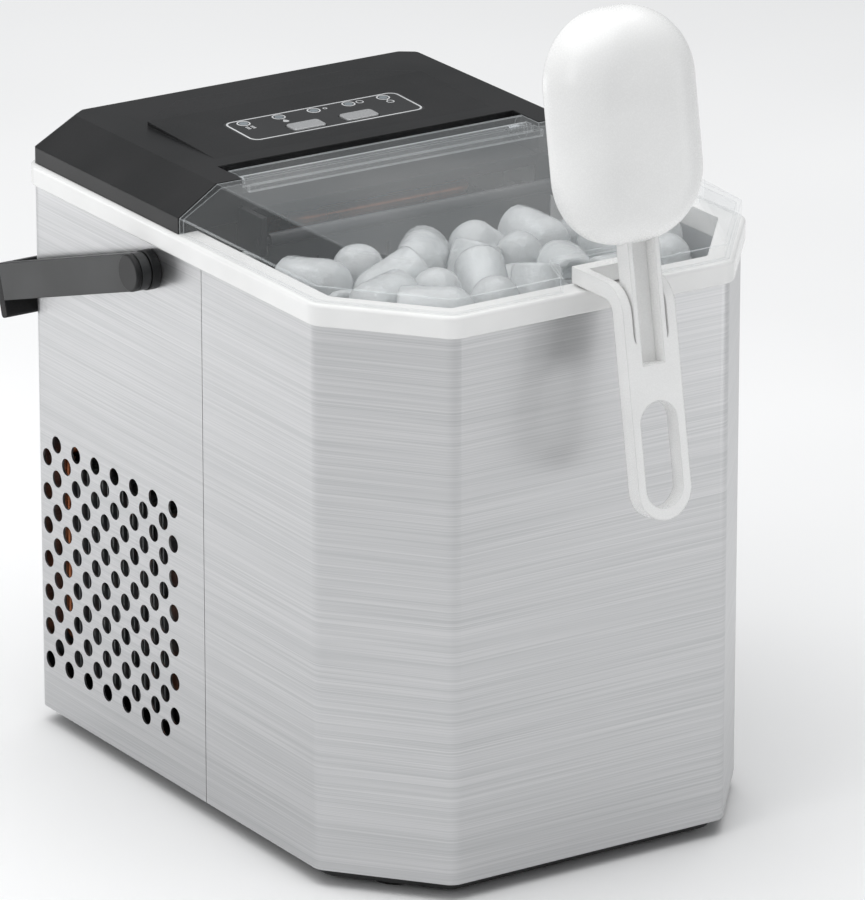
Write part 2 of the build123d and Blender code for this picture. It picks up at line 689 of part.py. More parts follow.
with BuildPart() as tank_insulation:
    extrude(housing_plan(FOAM_LOW, 1.4, corner=7.0), amount=249.5 - FOAM_LOW)
    extrude(housing_plan(TANK_FLOOR - 0.3, TANK_INSET - 0.3, corner=8.0), amount=200, mode=Mode.SUBTRACT)
    split(bisect_by=Plane((0, STEP_Y - 2, 0), z_dir=(0, 1, 0)), keep=Keep.BOTTOM)
    with BuildSketch(Plane.XY.offset(FOAM_LOW - 1)):
        with Locations((DRAIN_X, DRAIN_Y)):
            Circle(8.0)
    extrude(amount=30, mode=Mode.SUBTRACT)
tank_insulation.part.label = "tank_insulation"
export_step(tank_insulation.part, "parts/tank_insulation.step")

with BuildPart() as drain_spout:
    add(
        pipe(
            [(DRAIN_X, DRAIN_Y, TANK_FLOOR), (DRAIN_X, DRAIN_Y, DRAIN_Z), (HALF_W, DRAIN_Y, DRAIN_Z)],
            6.8,
            12.0,
        )
    )
    with BuildSketch(side_plane(HALF_W, DRAIN_Y, DRAIN_Z)):
        Circle(10.0)
    extrude(amount=2.5)
    with BuildSketch(side_plane(HALF_W - 20, DRAIN_Y, DRAIN_Z)):
        Circle(5.0)
    extrude(amount=30, mode=Mode.SUBTRACT)
drain_spout.part.label = "drain_spout"
export_step(drain_spout.part, "parts/drain_spout.step")

with BuildPart() as drain_plug:
    with BuildSketch(side_plane(HALF_W + 2.8, DRAIN_Y, DRAIN_Z)):
        Circle(9.0)
        with Locations((0, -10)):
            RectangleRounded(8, 10, 2.5)
    extrude(amount=4.0)
    with BuildSketch(side_plane(HALF_W - 12, DRAIN_Y, DRAIN_Z)):
        Circle(4.6)
    extrude(amount=16)
drain_plug.part.label = "drain_plug"
export_step(drain_plug.part, "parts/drain_plug.step")


# ---------------------------------------------------------------- ice basket
BASKET_INSET = 16.0
BASKET_REAR_Y = -26.0
BASKET_LOW = 130.0
BASKET_TOP = 245.0
BASKET_REAR_TOP = 192.0
BASKET_WALL = 2.0

with BuildPart() as ice_basket:
    extrude(housing_plan(BASKET_LOW, BASKET_INSET, corner=10.0), amount=BASKET_TOP - BASKET_LOW)
    split(bisect_by=Plane((0, BASKET_REAR_Y, 0), z_dir=(0, 1, 0)), keep=Keep.BOTTOM)
    offset(amount=-BASKET_WALL, openings=ice_basket.faces().sort_by(Axis.Z)[-1])
    with BuildSketch(Plane.XY.offset(BASKET_TOP - 2.5)):
        add(housing_plan(0, BASKET_INSET - 3.5, corner=10.0))
        add(housing_plan(0, BASKET_INSET + 1, corner=9.0), mode=Mode.SUBTRACT)
        with Locations((0, BASKET_REAR_Y + 100)):
            Rectangle(2 * WIDTH, 200, mode=Mode.SUBTRACT)
    extrude(amount=2.5)
    with BuildSketch(Plane.XY.offset(BASKET_REAR_TOP)):
        with Locations((0, BASKET_REAR_Y)):
            Rectangle(2 * (HALF_W - BASKET_INSET - BASKET_WALL - 8), 16)
    extrude(amount=100, mode=Mode.SUBTRACT)
    # melt-water slots in the floor and the long walls
    with BuildSketch(Plane.XY.offset(BASKET_LOW - 1)):
        with Locations((0, -72)):
            with GridLocations(16, 26, 9, 3):
                SlotOverall(18, 4, rotation=90)
    extrude(amount=8, mode=Mode.SUBTRACT)
    with BuildSketch(Plane.YZ):
        with Locations((-62, 162)):
            with GridLocations(11, 30, 6, 2):
                SlotOverall(20, 4, rotation=90)
    extrude(amount=HALF_W, both=True, mode=Mode.SUBTRACT)
ice_basket.part.label = "ice_basket"
export_step(ice_basket.part, "parts/ice_basket.step")


# ---------------------------------------------------------------- curtain, tray, rake and chute
FLAP_HALF = 74.0
FLAP_LOW = 219.0
FLAP_T = 1.6
SLATS = 12

with BuildPart() as curtain_flap:
    with BuildSketch(side_plane(0, 0, FLAP_Z)):
        Circle(3.0)
        with Locations((0, (FLAP_LOW - FLAP_Z) / 2)):
            Rectangle(FLAP_T, FLAP_Z - FLAP_LOW)
    extrude(amount=FLAP_HALF, both=True)
    with BuildSketch(side_plane(0, 0, FLAP_Z)):
        Circle(FLAP_PIN_R)
    extrude(amount=RECESS_HALF + 1.5, both=True)
    with BuildSketch(Plane.XZ):
        with Locations((0, (FLAP_LOW + FLAP_Z - 12) / 2)):
            with GridLocations(2 * FLAP_HALF / SLATS, 1, SLATS - 1, 1):
                Rectangle(1.4, FLAP_Z - FLAP_LOW - 10)
    extrude(amount=6, both=True, mode=Mode.SUBTRACT)
curtain_flap.part.label = "curtain_flap"
export_step(curtain_flap.part, "parts/curtain_flap.step")

TRAY_WALL = 1.5
TRAY_BRIM = -11.0               # brim height against the shaft

with BuildPart() as water_tray:
    with BuildSketch(side_plane(0, TRAY_Y, TRAY_Z)):
        Circle(TRAY_R)
        Circle(TRAY_R - TRAY_WALL, mode=Mode.SUBTRACT)
        with Locations((0, TRAY_BRIM + 50)):
            Rectangle(100, 100, mode=Mode.SUBTRACT)
    extrude(amount=TRAY_HALF, both=True)
    for inner_x in (TRAY_HALF - 2, -TRAY_HALF):
        with BuildSketch(side_plane(inner_x, TRAY_Y, TRAY_Z)):
            Circle(TRAY_R)
            with Locations((0, TRAY_BRIM + 50)):
                Rectangle(100, 100, mode=Mode.SUBTRACT)
            with Locations((0, -9)):
                Rectangle(14, 18)
            Circle(7.0)
        extrude(amount=2)
    for inner_x, length in ((-TRAY_HALF - 14, 14), (TRAY_HALF, 14)):
        with BuildSketch(side_plane(inner_x, TRAY_Y, TRAY_Z)):
            Circle(SHAFT_R)
        extrude(amount=length)
water_tray.part.label = "water_tray"
export_step(water_tray.part, "parts/water_tray.step")

RAKE_REST = -60.0               # degrees, behind the tray's lowest point
RAKE_X = 78.5
RAKE_IN = 35.0
RAKE_OUT = 39.0
rake_side = side_plane(0, TRAY_Y, TRAY_Z, RAKE_REST)

with BuildPart() as ice_rake:
    for inner_x in (RAKE_X, -RAKE_X - 2):
        with BuildSketch(rake_side.offset(inner_x)):
            Circle(8.0)
            with Locations((RAKE_OUT / 2, 0)):
                Rectangle(RAKE_OUT, 6)
            Circle(SHAFT_R + RUNNING, mode=Mode.SUBTRACT)
        extrude(amount=2)
    with BuildSketch(rake_side):
        with Locations(((RAKE_IN + RAKE_OUT) / 2, 0)):
            Rectangle(RAKE_OUT - RAKE_IN, 3)
    extrude(amount=RAKE_X + 1, both=True)
ice_rake.part.label = "ice_rake"
export_step(ice_rake.part, "parts/ice_rake.step")

with BuildPart() as tray_bearing:
    with BuildSketch(side_plane(-HALF_W + TANK_INSET + TANK_WALL, TRAY_Y, TRAY_Z)):
        RectangleRounded(22, 22, 4)
        Circle(SHAFT_R + RUNNING, mode=Mode.SUBTRACT)
    extrude(amount=17)
tray_bearing.part.label = "tray_bearing"
export_step(tray_bearing.part, "parts/tray_bearing.step")

with BuildPart() as tray_motor:
    with BuildSketch(side_plane(86, TRAY_Y, TRAY_Z)):
        RectangleRounded(34, 30, 4)
    extrude(amount=14.8)
    fillet(tray_motor.faces().sort_by(Axis.X)[0].edges(), radius=1.5)
    with BuildSketch(side_plane(84.5, TRAY_Y, TRAY_Z)):
        Circle(7.0)
    extrude(amount=3)
    with BuildSketch(side_plane(80, TRAY_Y, TRAY_Z)):
        Circle(SHAFT_R + RUNNING)
    extrude(amount=11, mode=Mode.SUBTRACT)
tray_motor.part.label = "tray_motor"
export_step(tray_motor.part, "parts/tray_motor.step")

PUMP_X = -85.0                  # the fill hose passes through the chute's corner
PUMP_Y = 4.0
HOSE_R = 3.5
HOSE_SHIFT = -6.0
CHUTE_R = 42.0
CHUTE_T = 1.6
CHUTE_HALF = HALF_W - TANK_INSET - TANK_WALL - 0.2
CHUTE_FRONT = 235.0             # degrees round the shaft
CHUTE_SWEEP = 70.0
CHUTE_END_Y = -24.6
CHUTE_END_Z = 198.0


def round_shaft(radius, angle):
    """Point in the YZ plane at a radius and angle round the tray's shaft."""
    turn = math.radians(angle)
    return (TRAY_Y + radius * math.cos(turn), TRAY_Z + radius * math.sin(turn))


with BuildPart() as ice_chute:
    front_in = round_shaft(CHUTE_R, CHUTE_FRONT)
    front_out = round_shaft(CHUTE_R + CHUTE_T, CHUTE_FRONT)
    rear_in = round_shaft(CHUTE_R, CHUTE_FRONT + CHUTE_SWEEP)
    rear_out = round_shaft(CHUTE_R + CHUTE_T, CHUTE_FRONT + CHUTE_SWEEP)
    wall_y = TANK_REAR_Y - TANK_WALL - 0.2
    with BuildSketch(Plane.YZ):
        with BuildLine():
            CenterArc((TRAY_Y, TRAY_Z), CHUTE_R, CHUTE_FRONT, CHUTE_SWEEP)
            Line(rear_in, (wall_y, rear_in[1] + 2))
            Line((wall_y, rear_in[1] + 2), (wall_y, rear_out[1] + 2))
            Line((wall_y, rear_out[1] + 2), rear_out)
            CenterArc((TRAY_Y, TRAY_Z), CHUTE_R + CHUTE_T, CHUTE_FRONT, CHUTE_SWEEP)
            Line(front_out, (CHUTE_END_Y, CHUTE_END_Z - CHUTE_T))
            Line((CHUTE_END_Y, CHUTE_END_Z - CHUTE_T), (CHUTE_END_Y, CHUTE_END_Z))
            Line((CHUTE_END_Y, CHUTE_END_Z), front_in)
        make_face()
    extrude(amount=CHUTE_HALF, both=True)
    # drain slots under the tray and along the lip
    with BuildSketch(Plane.XY.offset(CHUTE_END_Z - 10)):
        with Locations((0, TRAY_Y)):
            with GridLocations(10, 1, 15, 1):
                SlotOverall(34, 4, rotation=90)
        with Locations((0, -6)):
            with GridLocations(10, 1, 15, 1):
                SlotOverall(22, 4, rotation=90)
        with Locations((PUMP_X + HOSE_SHIFT, PUMP_Y)):
            Circle(HOSE_R + 1)
    extrude(amount=30, mode=Mode.SUBTRACT)
ice_chute.part.label = "ice_chute"
export_step(ice_chute.part, "parts/ice_chute.step")


# ---------------------------------------------------------------- evaporator
FINGER_R = 5.5
FINGER_ROW = 9.0
FINGER_PITCH = 24.0
FINGER_TOP = TRAY_Z + 2
FINGER_LOW = TRAY_Z - 24
PLATE_TOP = FINGER_TOP + 8

with BuildPart() as evaporator_plate:
    with BuildSketch(Plane.XY.offset(FINGER_TOP)):
        with Locations((0, TRAY_Y)):
            RectangleRounded(118, 30, 6)
    extrude(amount=PLATE_TOP - FINGER_TOP)
    fillet(evaporator_plate.faces().sort_by(Axis.Z)[0].edges(), radius=1.2)
evaporator_plate.part.label = "evaporator_plate"
export_step(evaporator_plate.part, "parts/evaporator_plate.step")

with BuildPart() as evaporator_fingers:
    with BuildSketch(Plane.XY.offset(FINGER_LOW)):
        with Locations((0, TRAY_Y + FINGER_ROW)):
            with GridLocations(FINGER_PITCH, 1, 5, 1):
                Circle(FINGER_R)
        with Locations((0, TRAY_Y - FINGER_ROW)):
            with GridLocations(FINGER_PITCH, 1, 4, 1):
                Circle(FINGER_R)
    extrude(amount=FINGER_TOP - FINGER_LOW)
    fillet(evaporator_fingers.faces().group_by(Axis.Z)[0].edges(), radius=4.0)
evaporator_fingers.part.label = "evaporator_fingers"
export_step(evaporator_fingers.part, "parts/evaporator_fingers.step")

TUBE_R = 3.0
TUBE_Z = PLATE_TOP + TUBE_R
OVER_Z = 272.5                  # height at which the pipes pass over the tank's wall
FEED_X = -40.0
RETURN_X = -20.0
FEED_Y = 86.0
RETURN_Y = 95.0
TUBE_DROP_Z = 200.0

with BuildPart() as evaporator_tube:
    add(
        pipe(
            [
                (FEED_X, FEED_Y, TUBE_DROP_Z),
                (FEED_X, FEED_Y, OVER_Z),
                (FEED_X, TRAY_Y + FINGER_ROW, OVER_Z),
                (FEED_X, TRAY_Y + FINGER_ROW, TUBE_Z),
                (FEED_X, TRAY_Y - FINGER_ROW, TUBE_Z),
                (50, TRAY_Y - FINGER_ROW, TUBE_Z),
                (50, TRAY_Y + FINGER_ROW, TUBE_Z),
                (RETURN_X, TRAY_Y + FINGER_ROW, TUBE_Z),
                (RETURN_X, TRAY_Y + FINGER_ROW, OVER_Z),
                (RETURN_X, RETURN_Y, OVER_Z),
                (RETURN_X, RETURN_Y, TUBE_DROP_Z),
            ],
            TUBE_R,
            6.0,
        )
    )
evaporator_tube.part.label = "evaporator_tube"
export_step(evaporator_tube.part, "parts/evaporator_tube.step")

HANGER_Z = 269.6

with BuildPart() as evaporator_bracket:
    with BuildSketch(Plane.XY.offset(HANGER_Z)):
        with Locations((20, 61.5)):
            Rectangle(40, 41)
    extrude(amount=1.6)
    with BuildSketch(Plane.XY.offset(PLATE_TOP)):
        with Locations((8, TRAY_Y), (32, TRAY_Y)):
            Rectangle(6, 6)
    extrude(amount=HANGER_Z - PLATE_TOP)
    with BuildSketch(Plane.XY.offset(238)):
        with Locations((20, 80)):
            Rectangle(40, 4)
    extrude(amount=HANGER_Z + 1.6 - 238)
evaporator_bracket.part.label = "evaporator_bracket"
export_step(evaporator_bracket.part, "parts/evaporator_bracket.step")


# ---------------------------------------------------------------- pump, hose, float and sensors
PUMP_TOP = 112.0
HOSE_TOP = 254.0

with BuildPart() as water_pump:
    with BuildSketch(Plane.XY.offset(TANK_FLOOR + TANK_WALL)):
        with Locations((PUMP_X, PUMP_Y)):
            RectangleRounded(26, 26, 6)
    extrude(amount=8)
    with BuildSketch(Plane.XY.offset(TANK_FLOOR + TANK_WALL + 8)):
        with Locations((PUMP_X, PUMP_Y)):
            Circle(12.0)
    extrude(amount=PUMP_TOP - 8 - TANK_FLOOR - TANK_WALL - 8)
    with BuildSketch(Plane.XY.offset(PUMP_TOP - 8)):
        with Locations((PUMP_X + HOSE_SHIFT, PUMP_Y)):
            Circle(HOSE_R)
    extrude(amount=8)
water_pump.part.label = "water_pump"
export_step(water_pump.part, "parts/water_pump.step")

with BuildPart() as fill_hose:
    add(
        pipe(
            [
                (PUMP_X + HOSE_SHIFT, PUMP_Y, PUMP_TOP),
                (PUMP_X + HOSE_SHIFT, PUMP_Y, HOSE_TOP),
                (PUMP_X + 22, 17, HOSE_TOP),
                (PUMP_X + 22, 17, HOSE_TOP - 10),
            ],
            HOSE_R,
            7.5,
        )
    )
fill_hose.part.label = "fill_hose"
export_step(fill_hose.part, "parts/fill_hose.step")

FLOAT_X = 88.0
FLOAT_Y = 0.0
STEM_R = 3.0

with BuildPart() as float_stem:
    with BuildSketch(Plane.XY.offset(TANK_FLOOR + TANK_WALL)):
        with Locations((FLOAT_X, FLOAT_Y)):
            Circle(8.0)
    extrude(amount=4)
    with BuildSketch(Plane.XY.offset(TANK_FLOOR + TANK_WALL)):
        with Locations((FLOAT_X, FLOAT_Y)):
            Circle(STEM_R)
    extrude(amount=62)
    with BuildSketch(Plane.XY.offset(TANK_FLOOR + TANK_WALL + 62)):
        with Locations((FLOAT_X, FLOAT_Y)):
            Circle(5.0)
    extrude(amount=3)
float_stem.part.label = "float_stem"
export_step(float_stem.part, "parts/float_stem.step")

with BuildPart() as level_float:
    with BuildSketch(Plane.XY.offset(102)):
        with Locations((FLOAT_X, FLOAT_Y)):
            Circle(9.0)
    extrude(amount=18)
    fillet(level_float.edges().filter_by(GeomType.CIRCLE), radius=2.0)
    with Locations((FLOAT_X, FLOAT_Y, 111)):
        Cylinder(STEM_R + 0.1, 30, mode=Mode.SUBTRACT)
level_float.part.label = "level_float"
export_step(level_float.part, "parts/level_float.step")

SENSOR_Y = -15.0
SENSOR_Z = 250.0
wall_x = HALF_W - TANK_INSET - TANK_WALL

with BuildPart() as ice_sensors:
    with BuildSketch(side_plane(wall_x - 5, SENSOR_Y, SENSOR_Z)):
        RectangleRounded(14, 10, 2)
    extrude(amount=5)
    with BuildSketch(side_plane(wall_x - 6, SENSOR_Y, SENSOR_Z)):
        Circle(2.5)
    extrude(amount=2)
    mirror(about=Plane.YZ)
ice_sensors.part.label = "ice_sensors"
export_step(ice_sensors.part, "parts/ice_sensors.step")


# ---------------------------------------------------------------- refrigeration unit
UNIT_PLATE_Z = 24.0
UNIT_PLATE_T = 2.5
UNIT_R = 44.0
UNIT_WELD = 78.0
UNIT_TOP = 138.0

with BuildPart() as compressor_mounts:
    with BuildSketch(Plane.XY.offset(PAN_FLOOR + 3)):
        with Locations((COMPRESSOR_X, COMPRESSOR_Y)):
            with GridLocations(88, 76, 2, 2):
                Circle(6.5)
    extrude(amount=UNIT_PLATE_Z - PAN_FLOOR - 3, taper=8)
compressor_mounts.part.label = "compressor_mounts"
export_step(compressor_mounts.part, "parts/compressor_mounts.step")

with BuildPart() as compressor:
    with BuildSketch(Plane.XY.offset(UNIT_PLATE_Z)):
        with Locations((COMPRESSOR_X, COMPRESSOR_Y)):
            RectangleRounded(104, 92, 14)
            with GridLocations(88, 76, 2, 2):
                Circle(2.6, mode=Mode.SUBTRACT)
    extrude(amount=UNIT_PLATE_T)
    # welded steel pot: lower and upper halves with the weld rim between them
    with BuildSketch(Plane((COMPRESSOR_X, COMPRESSOR_Y, 0), x_dir=(1, 0, 0), z_dir=(0, -1, 0))) as pot:
        with BuildLine():
            Polyline(
                (0, UNIT_PLATE_Z + UNIT_PLATE_T),
                (UNIT_R - 3, UNIT_PLATE_Z + UNIT_PLATE_T),
                (UNIT_R - 3, UNIT_WELD - 2),
                (UNIT_R, UNIT_WELD - 2),
                (UNIT_R, UNIT_WELD + 2),
                (UNIT_R - 3, UNIT_WELD + 2),
                (UNIT_R - 3, UNIT_TOP),
                (0, UNIT_TOP),
                close=True,
            )
        make_face()
        fillet(pot.vertices().sort_by_distance((UNIT_R - 3, UNIT_TOP, 0))[0], radius=22)
    revolve(axis=Axis((COMPRESSOR_X, COMPRESSOR_Y, 0), (0, 0, 1)))
    # stubs for the suction and discharge pipes
    with BuildSketch(Plane.XY.offset(UNIT_TOP - 12)):
        with Locations((COMPRESSOR_X - 24, COMPRESSOR_Y + 9), (COMPRESSOR_X, COMPRESSOR_Y - 26)):
            Circle(TUBE_R + 1)
    extrude(amount=18)
compressor.part.label = "compressor"
export_step(compressor.part, "parts/compressor.step")

with BuildPart() as terminal_cover:
    with BuildSketch(side_plane(COMPRESSOR_X + UNIT_R + 0.3, COMPRESSOR_Y, 56)):
        RectangleRounded(34, 32, 4)
    extrude(amount=14)
    fillet(terminal_cover.faces().sort_by(Axis.X)[-1].edges(), radius=2.0)
terminal_cover.part.label = "terminal_cover"
export_step(terminal_cover.part, "parts/terminal_cover.step")

CONDENSER_X = -95.0
COIL_R = 3.5
PASS_PITCH = 20.0
PASSES = 5
PASS_LOW = 40.0
FIN_COUNT = 20
FIN_PITCH = 4.4
COIL_NEAR_Y = 27.0
COIL_FAR_Y = 133.0
COIL_START_Y = 36.0
COIL_END_Y = 129.0

with BuildPart() as condenser_fins:
    with BuildSketch(Plane.XZ.offset(-(FAN_Y - FIN_PITCH * (FIN_COUNT - 1) / 2))):
        with Locations((CONDENSER_X, PASS_LOW + PASS_PITCH * (PASSES - 1) / 2)):
            Rectangle(18, 100)
            with GridLocations(1, PASS_PITCH, 1, PASSES):
                Circle(COIL_R + 0.05, mode=Mode.SUBTRACT)
    extrude(amount=-0.5)
    one_fin = condenser_fins.part
    with Locations(*[(0, FIN_PITCH * index, 0) for index in range(1, FIN_COUNT)]):
        add(one_fin)
condenser_fins.part.label = "condenser_fins"
export_step(condenser_fins.part, "parts/condenser_fins.step")

coil_route = []
for index in range(PASSES):
    z = PASS_LOW + PASS_PITCH * (PASSES - 1 - index)
    ends = (COIL_FAR_Y, COIL_NEAR_Y) if index % 2 else (COIL_NEAR_Y, COIL_FAR_Y)
    coil_route += [(CONDENSER_X, y, z) for y in ends]
coil_route[0] = (CONDENSER_X, COIL_START_Y, coil_route[0][2])
coil_route[-1] = (CONDENSER_X, COIL_END_Y, coil_route[-1][2])

with BuildPart() as condenser_tube:
    add(pipe(coil_route, COIL_R, 9.5))
condenser_tube.part.label = "condenser_tube"
export_step(condenser_tube.part, "parts/condenser_tube.step")

SHROUD_X = -83.0
FAN_R = 42.0
RING_X = -64.0
MOTOR_X = -58.0

with BuildPart() as fan_shroud:
    with BuildSketch(side_plane(SHROUD_X, FAN_Y, FAN_Z)):
        RectangleRounded(96, 100, 4)
        Circle(FAN_R + 1.5, mode=Mode.SUBTRACT)
    extrude(amount=2)
    with BuildSketch(side_plane(SHROUD_X, FAN_Y, FAN_Z)):
        Circle(FAN_R + 3.5)
        Circle(FAN_R + 1.5, mode=Mode.SUBTRACT)
    extrude(amount=RING_X - SHROUD_X)
    with BuildSketch(side_plane(RING_X, FAN_Y, FAN_Z)):
        Circle(17.0)
        with PolarLocations(30.0, 3):
            Rectangle(31.0, 6.0)
        Circle(4.0, mode=Mode.SUBTRACT)
    extrude(amount=-2.5)
    with BuildSketch(Plane.XY.offset(PAN_FLOOR)):
        with Locations((SHROUD_X + 1, FAN_Y - 34), (SHROUD_X + 1, FAN_Y + 34)):
            Rectangle(2, 16)
    extrude(amount=FAN_Z - 50 + 2 - PAN_FLOOR)
fan_shroud.part.label = "fan_shroud"
export_step(fan_shroud.part, "parts/fan_shroud.step")

BLADES = 5
HUB_X = -80.0

with BuildPart() as fan_rotor:
    with BuildSketch(side_plane(HUB_X, FAN_Y, FAN_Z)):
        Circle(13.0)
    extrude(amount=12)
    fillet(fan_rotor.faces().sort_by(Axis.X)[0].edges(), radius=2.5)
    with Locations(side_plane(HUB_X + 6, FAN_Y, FAN_Z)):
        with PolarLocations(25.5, BLADES):
            Box(30, 26, 1.6, rotation=(28, 0, 0))
    with BuildSketch(side_plane(HUB_X + 11, FAN_Y, FAN_Z)):
        Circle(PIN_R)
    extrude(amount=22)
fan_rotor.part.label = "fan_rotor"
export_step(fan_rotor.part, "parts/fan_rotor.step")

with BuildPart() as fan_motor:
    with BuildSketch(side_plane(RING_X + 0.1, FAN_Y, FAN_Z)):
        Circle(12.0)
    extrude(amount=MOTOR_X - RING_X)
    with BuildSketch(side_plane(MOTOR_X, FAN_Y, FAN_Z)):
        Circle(19.0)
    extrude(amount=24)
    fillet(fan_motor.faces().sort_by(Axis.X)[-1].edges(), radius=3)
    with BuildSketch(side_plane(RING_X - 1, FAN_Y, FAN_Z)):
        Circle(PIN_R + RUNNING)
    extrude(amount=20, mode=Mode.SUBTRACT)
fan_motor.part.label = "fan_motor"
export_step(fan_motor.part, "parts/fan_motor.step")

DRIER_X = -62.0
DRIER_Y = 122.0

with BuildPart() as filter_drier:
    with BuildSketch(Plane((DRIER_X, DRIER_Y, 0), x_dir=(1, 0, 0), z_dir=(0, -1, 0))):
        with BuildLine():
            Polyline((0, 140), (3, 140), (9, 148), (9, 194), (3, 202), (0, 202), close=True)
        make_face()
    revolve(axis=Axis((DRIER_X, DRIER_Y, 0), (0, 0, 1)))
filter_drier.part.label = "filter_drier"
export_step(filter_drier.part, "parts/filter_drier.step")

PIPE_R = 2.5
suction_x = COMPRESSOR_X - 24
suction_y = COMPRESSOR_Y + 9
stub_z = UNIT_TOP + 6

with BuildPart() as suction_line:
    add(
        pipe(
            [
                (RETURN_X, RETURN_Y, TUBE_DROP_Z),
                (RETURN_X, RETURN_Y, stub_z + 20),
                (suction_x, suction_y, stub_z + 20),
                (suction_x, suction_y, stub_z),
            ],
            TUBE_R,
            9.0,
        )
    )
suction_line.part.label = "suction_line"
export_step(suction_line.part, "parts/suction_line.step")

coil_top = PASS_LOW + PASS_PITCH * (PASSES - 1)

with BuildPart() as discharge_line:
    add(
        pipe(
            [
                (COMPRESSOR_X, COMPRESSOR_Y - 26, stub_z),
                (COMPRESSOR_X, COMPRESSOR_Y - 26, stub_z + 12),
                (-50, 46, stub_z + 12),
                (CONDENSER_X, COIL_START_Y - 8, stub_z + 4),
                (CONDENSER_X, COIL_START_Y - 8, coil_top),
                (CONDENSER_X, COIL_START_Y, coil_top),
            ],
            PIPE_R,
            3.8,
        )
    )
discharge_line.part.label = "discharge_line"
export_step(discharge_line.part, "parts/discharge_line.step")

with BuildPart() as liquid_line:
    add(
        pipe(
            [
                (CONDENSER_X, COIL_END_Y, PASS_LOW),
                (CONDENSER_X, COIL_FAR_Y + 7.2, PASS_LOW),
                (CONDENSER_X, COIL_FAR_Y + 7.2, 130),
                (DRIER_X, DRIER_Y, 132),
                (DRIER_X, DRIER_Y, 140),
            ],
            PIPE_R,
            3.8,
        )
    )
liquid_line.part.label = "liquid_line"
export_step(liquid_line.part, "parts/liquid_line.step")

CAPILLARY_R = 1.2

with BuildPart() as capillary_tube:
    add(
        pipe(
            [
                (DRIER_X, DRIER_Y, 202),
                (DRIER_X, DRIER_Y, 216),
                (FEED_X, DRIER_Y, 216),
                (FEED_X, DRIER_Y, 190),
                (FEED_X, FEED_Y, 190),
                (FEED_X, FEED_Y, TUBE_DROP_Z),
            ],
            CAPILLARY_R,
            6.0,
        )
    )
capillary_tube.part.label = "capillary_tube"
export_step(capillary_tube.part, "parts/capillary_tube.step")

# ---------------------------------------------------------------- electrics
BOARD_X = 50.0
BOARD_Y = 88.0
BOARD_Z = 222.0

with BuildPart() as board_bracket:
    with BuildSketch(Plane((BOARD_X, TANK_REAR_Y + 4.2, BOARD_Z), x_dir=(1, 0, 0), z_dir=(0, 1, 0))):
        Rectangle(96, 28)
    extrude(amount=1.2)
    with BuildSketch(Plane((BOARD_X, TANK_REAR_Y + 5.4, BOARD_Z), x_dir=(1, 0, 0), z_dir=(0, 1, 0))):
        with GridLocations(82, 20, 2, 2):
            Circle(2.5)
    extrude(amount=BOARD_Y - TANK_REAR_Y - 5.4)
    with BuildSketch(Plane((BOARD_X, TANK_REAR_Y, BOARD_Z), x_dir=(1, 0, 0), z_dir=(0, 1, 0))):
        with Locations((-40, -4), (40, -4)):
            Rectangle(12, 16)
    extrude(amount=4.2)
board_bracket.part.label = "board_bracket"
export_step(board_bracket.part, "parts/board_bracket.step")

with BuildPart() as main_board:
    with BuildSketch(Plane((BOARD_X, BOARD_Y, BOARD_Z), x_dir=(1, 0, 0), z_dir=(0, 1, 0))):
        Rectangle(92, 46)
    extrude(amount=1.6)
    parts_face = Plane((BOARD_X, BOARD_Y + 1.6, BOARD_Z), x_dir=(1, 0, 0), z_dir=(0, 1, 0))
    with BuildSketch(parts_face):
        with Locations((-30, 8), (-12, 8), (6, 8)):
            Rectangle(15, 18)
    extrude(amount=14)
    with BuildSketch(parts_face):
        with Locations((26, 8)):
            Rectangle(20, 22)
    extrude(amount=18)
    with BuildSketch(parts_face):
        with Locations((-34, -14), (-22, -14)):
            Circle(4.5)
    extrude(amount=16)
    with BuildSketch(parts_face):
        with Locations((10, -15)):
            Rectangle(44, 8)
    extrude(amount=8)
main_board.part.label = "main_board"
export_step(main_board.part, "parts/main_board.step")

GLAND_BORE = 3.7

with BuildPart() as cord_gland:
    with BuildSketch(Plane((GLAND_X, HALF_D - 14, GLAND_Z), x_dir=(1, 0, 0), z_dir=(0, 1, 0))):
        Circle(7.9)
    extrude(amount=16)
    with BuildSketch(Plane((GLAND_X, HALF_D + 0.1, GLAND_Z), x_dir=(1, 0, 0), z_dir=(0, 1, 0))):
        Circle(11.0)
    extrude(amount=3.5)
    fillet(cord_gland.faces().sort_by(Axis.Y)[-1].edges(), radius=1.2)
    with BuildSketch(Plane((GLAND_X, HALF_D - 20, GLAND_Z), x_dir=(1, 0, 0), z_dir=(0, 1, 0))):
        Circle(GLAND_BORE)
    extrude(amount=30, mode=Mode.SUBTRACT)
cord_gland.part.label = "cord_gland"
export_step(cord_gland.part, "parts/cord_gland.step")
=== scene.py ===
"""Looks of the countertop ice maker: finishes for the machine's parts, keypad print, ice and studio."""
import json
import math

import bmesh
import bpy
import numpy as np
from mathutils import Matrix, Vector


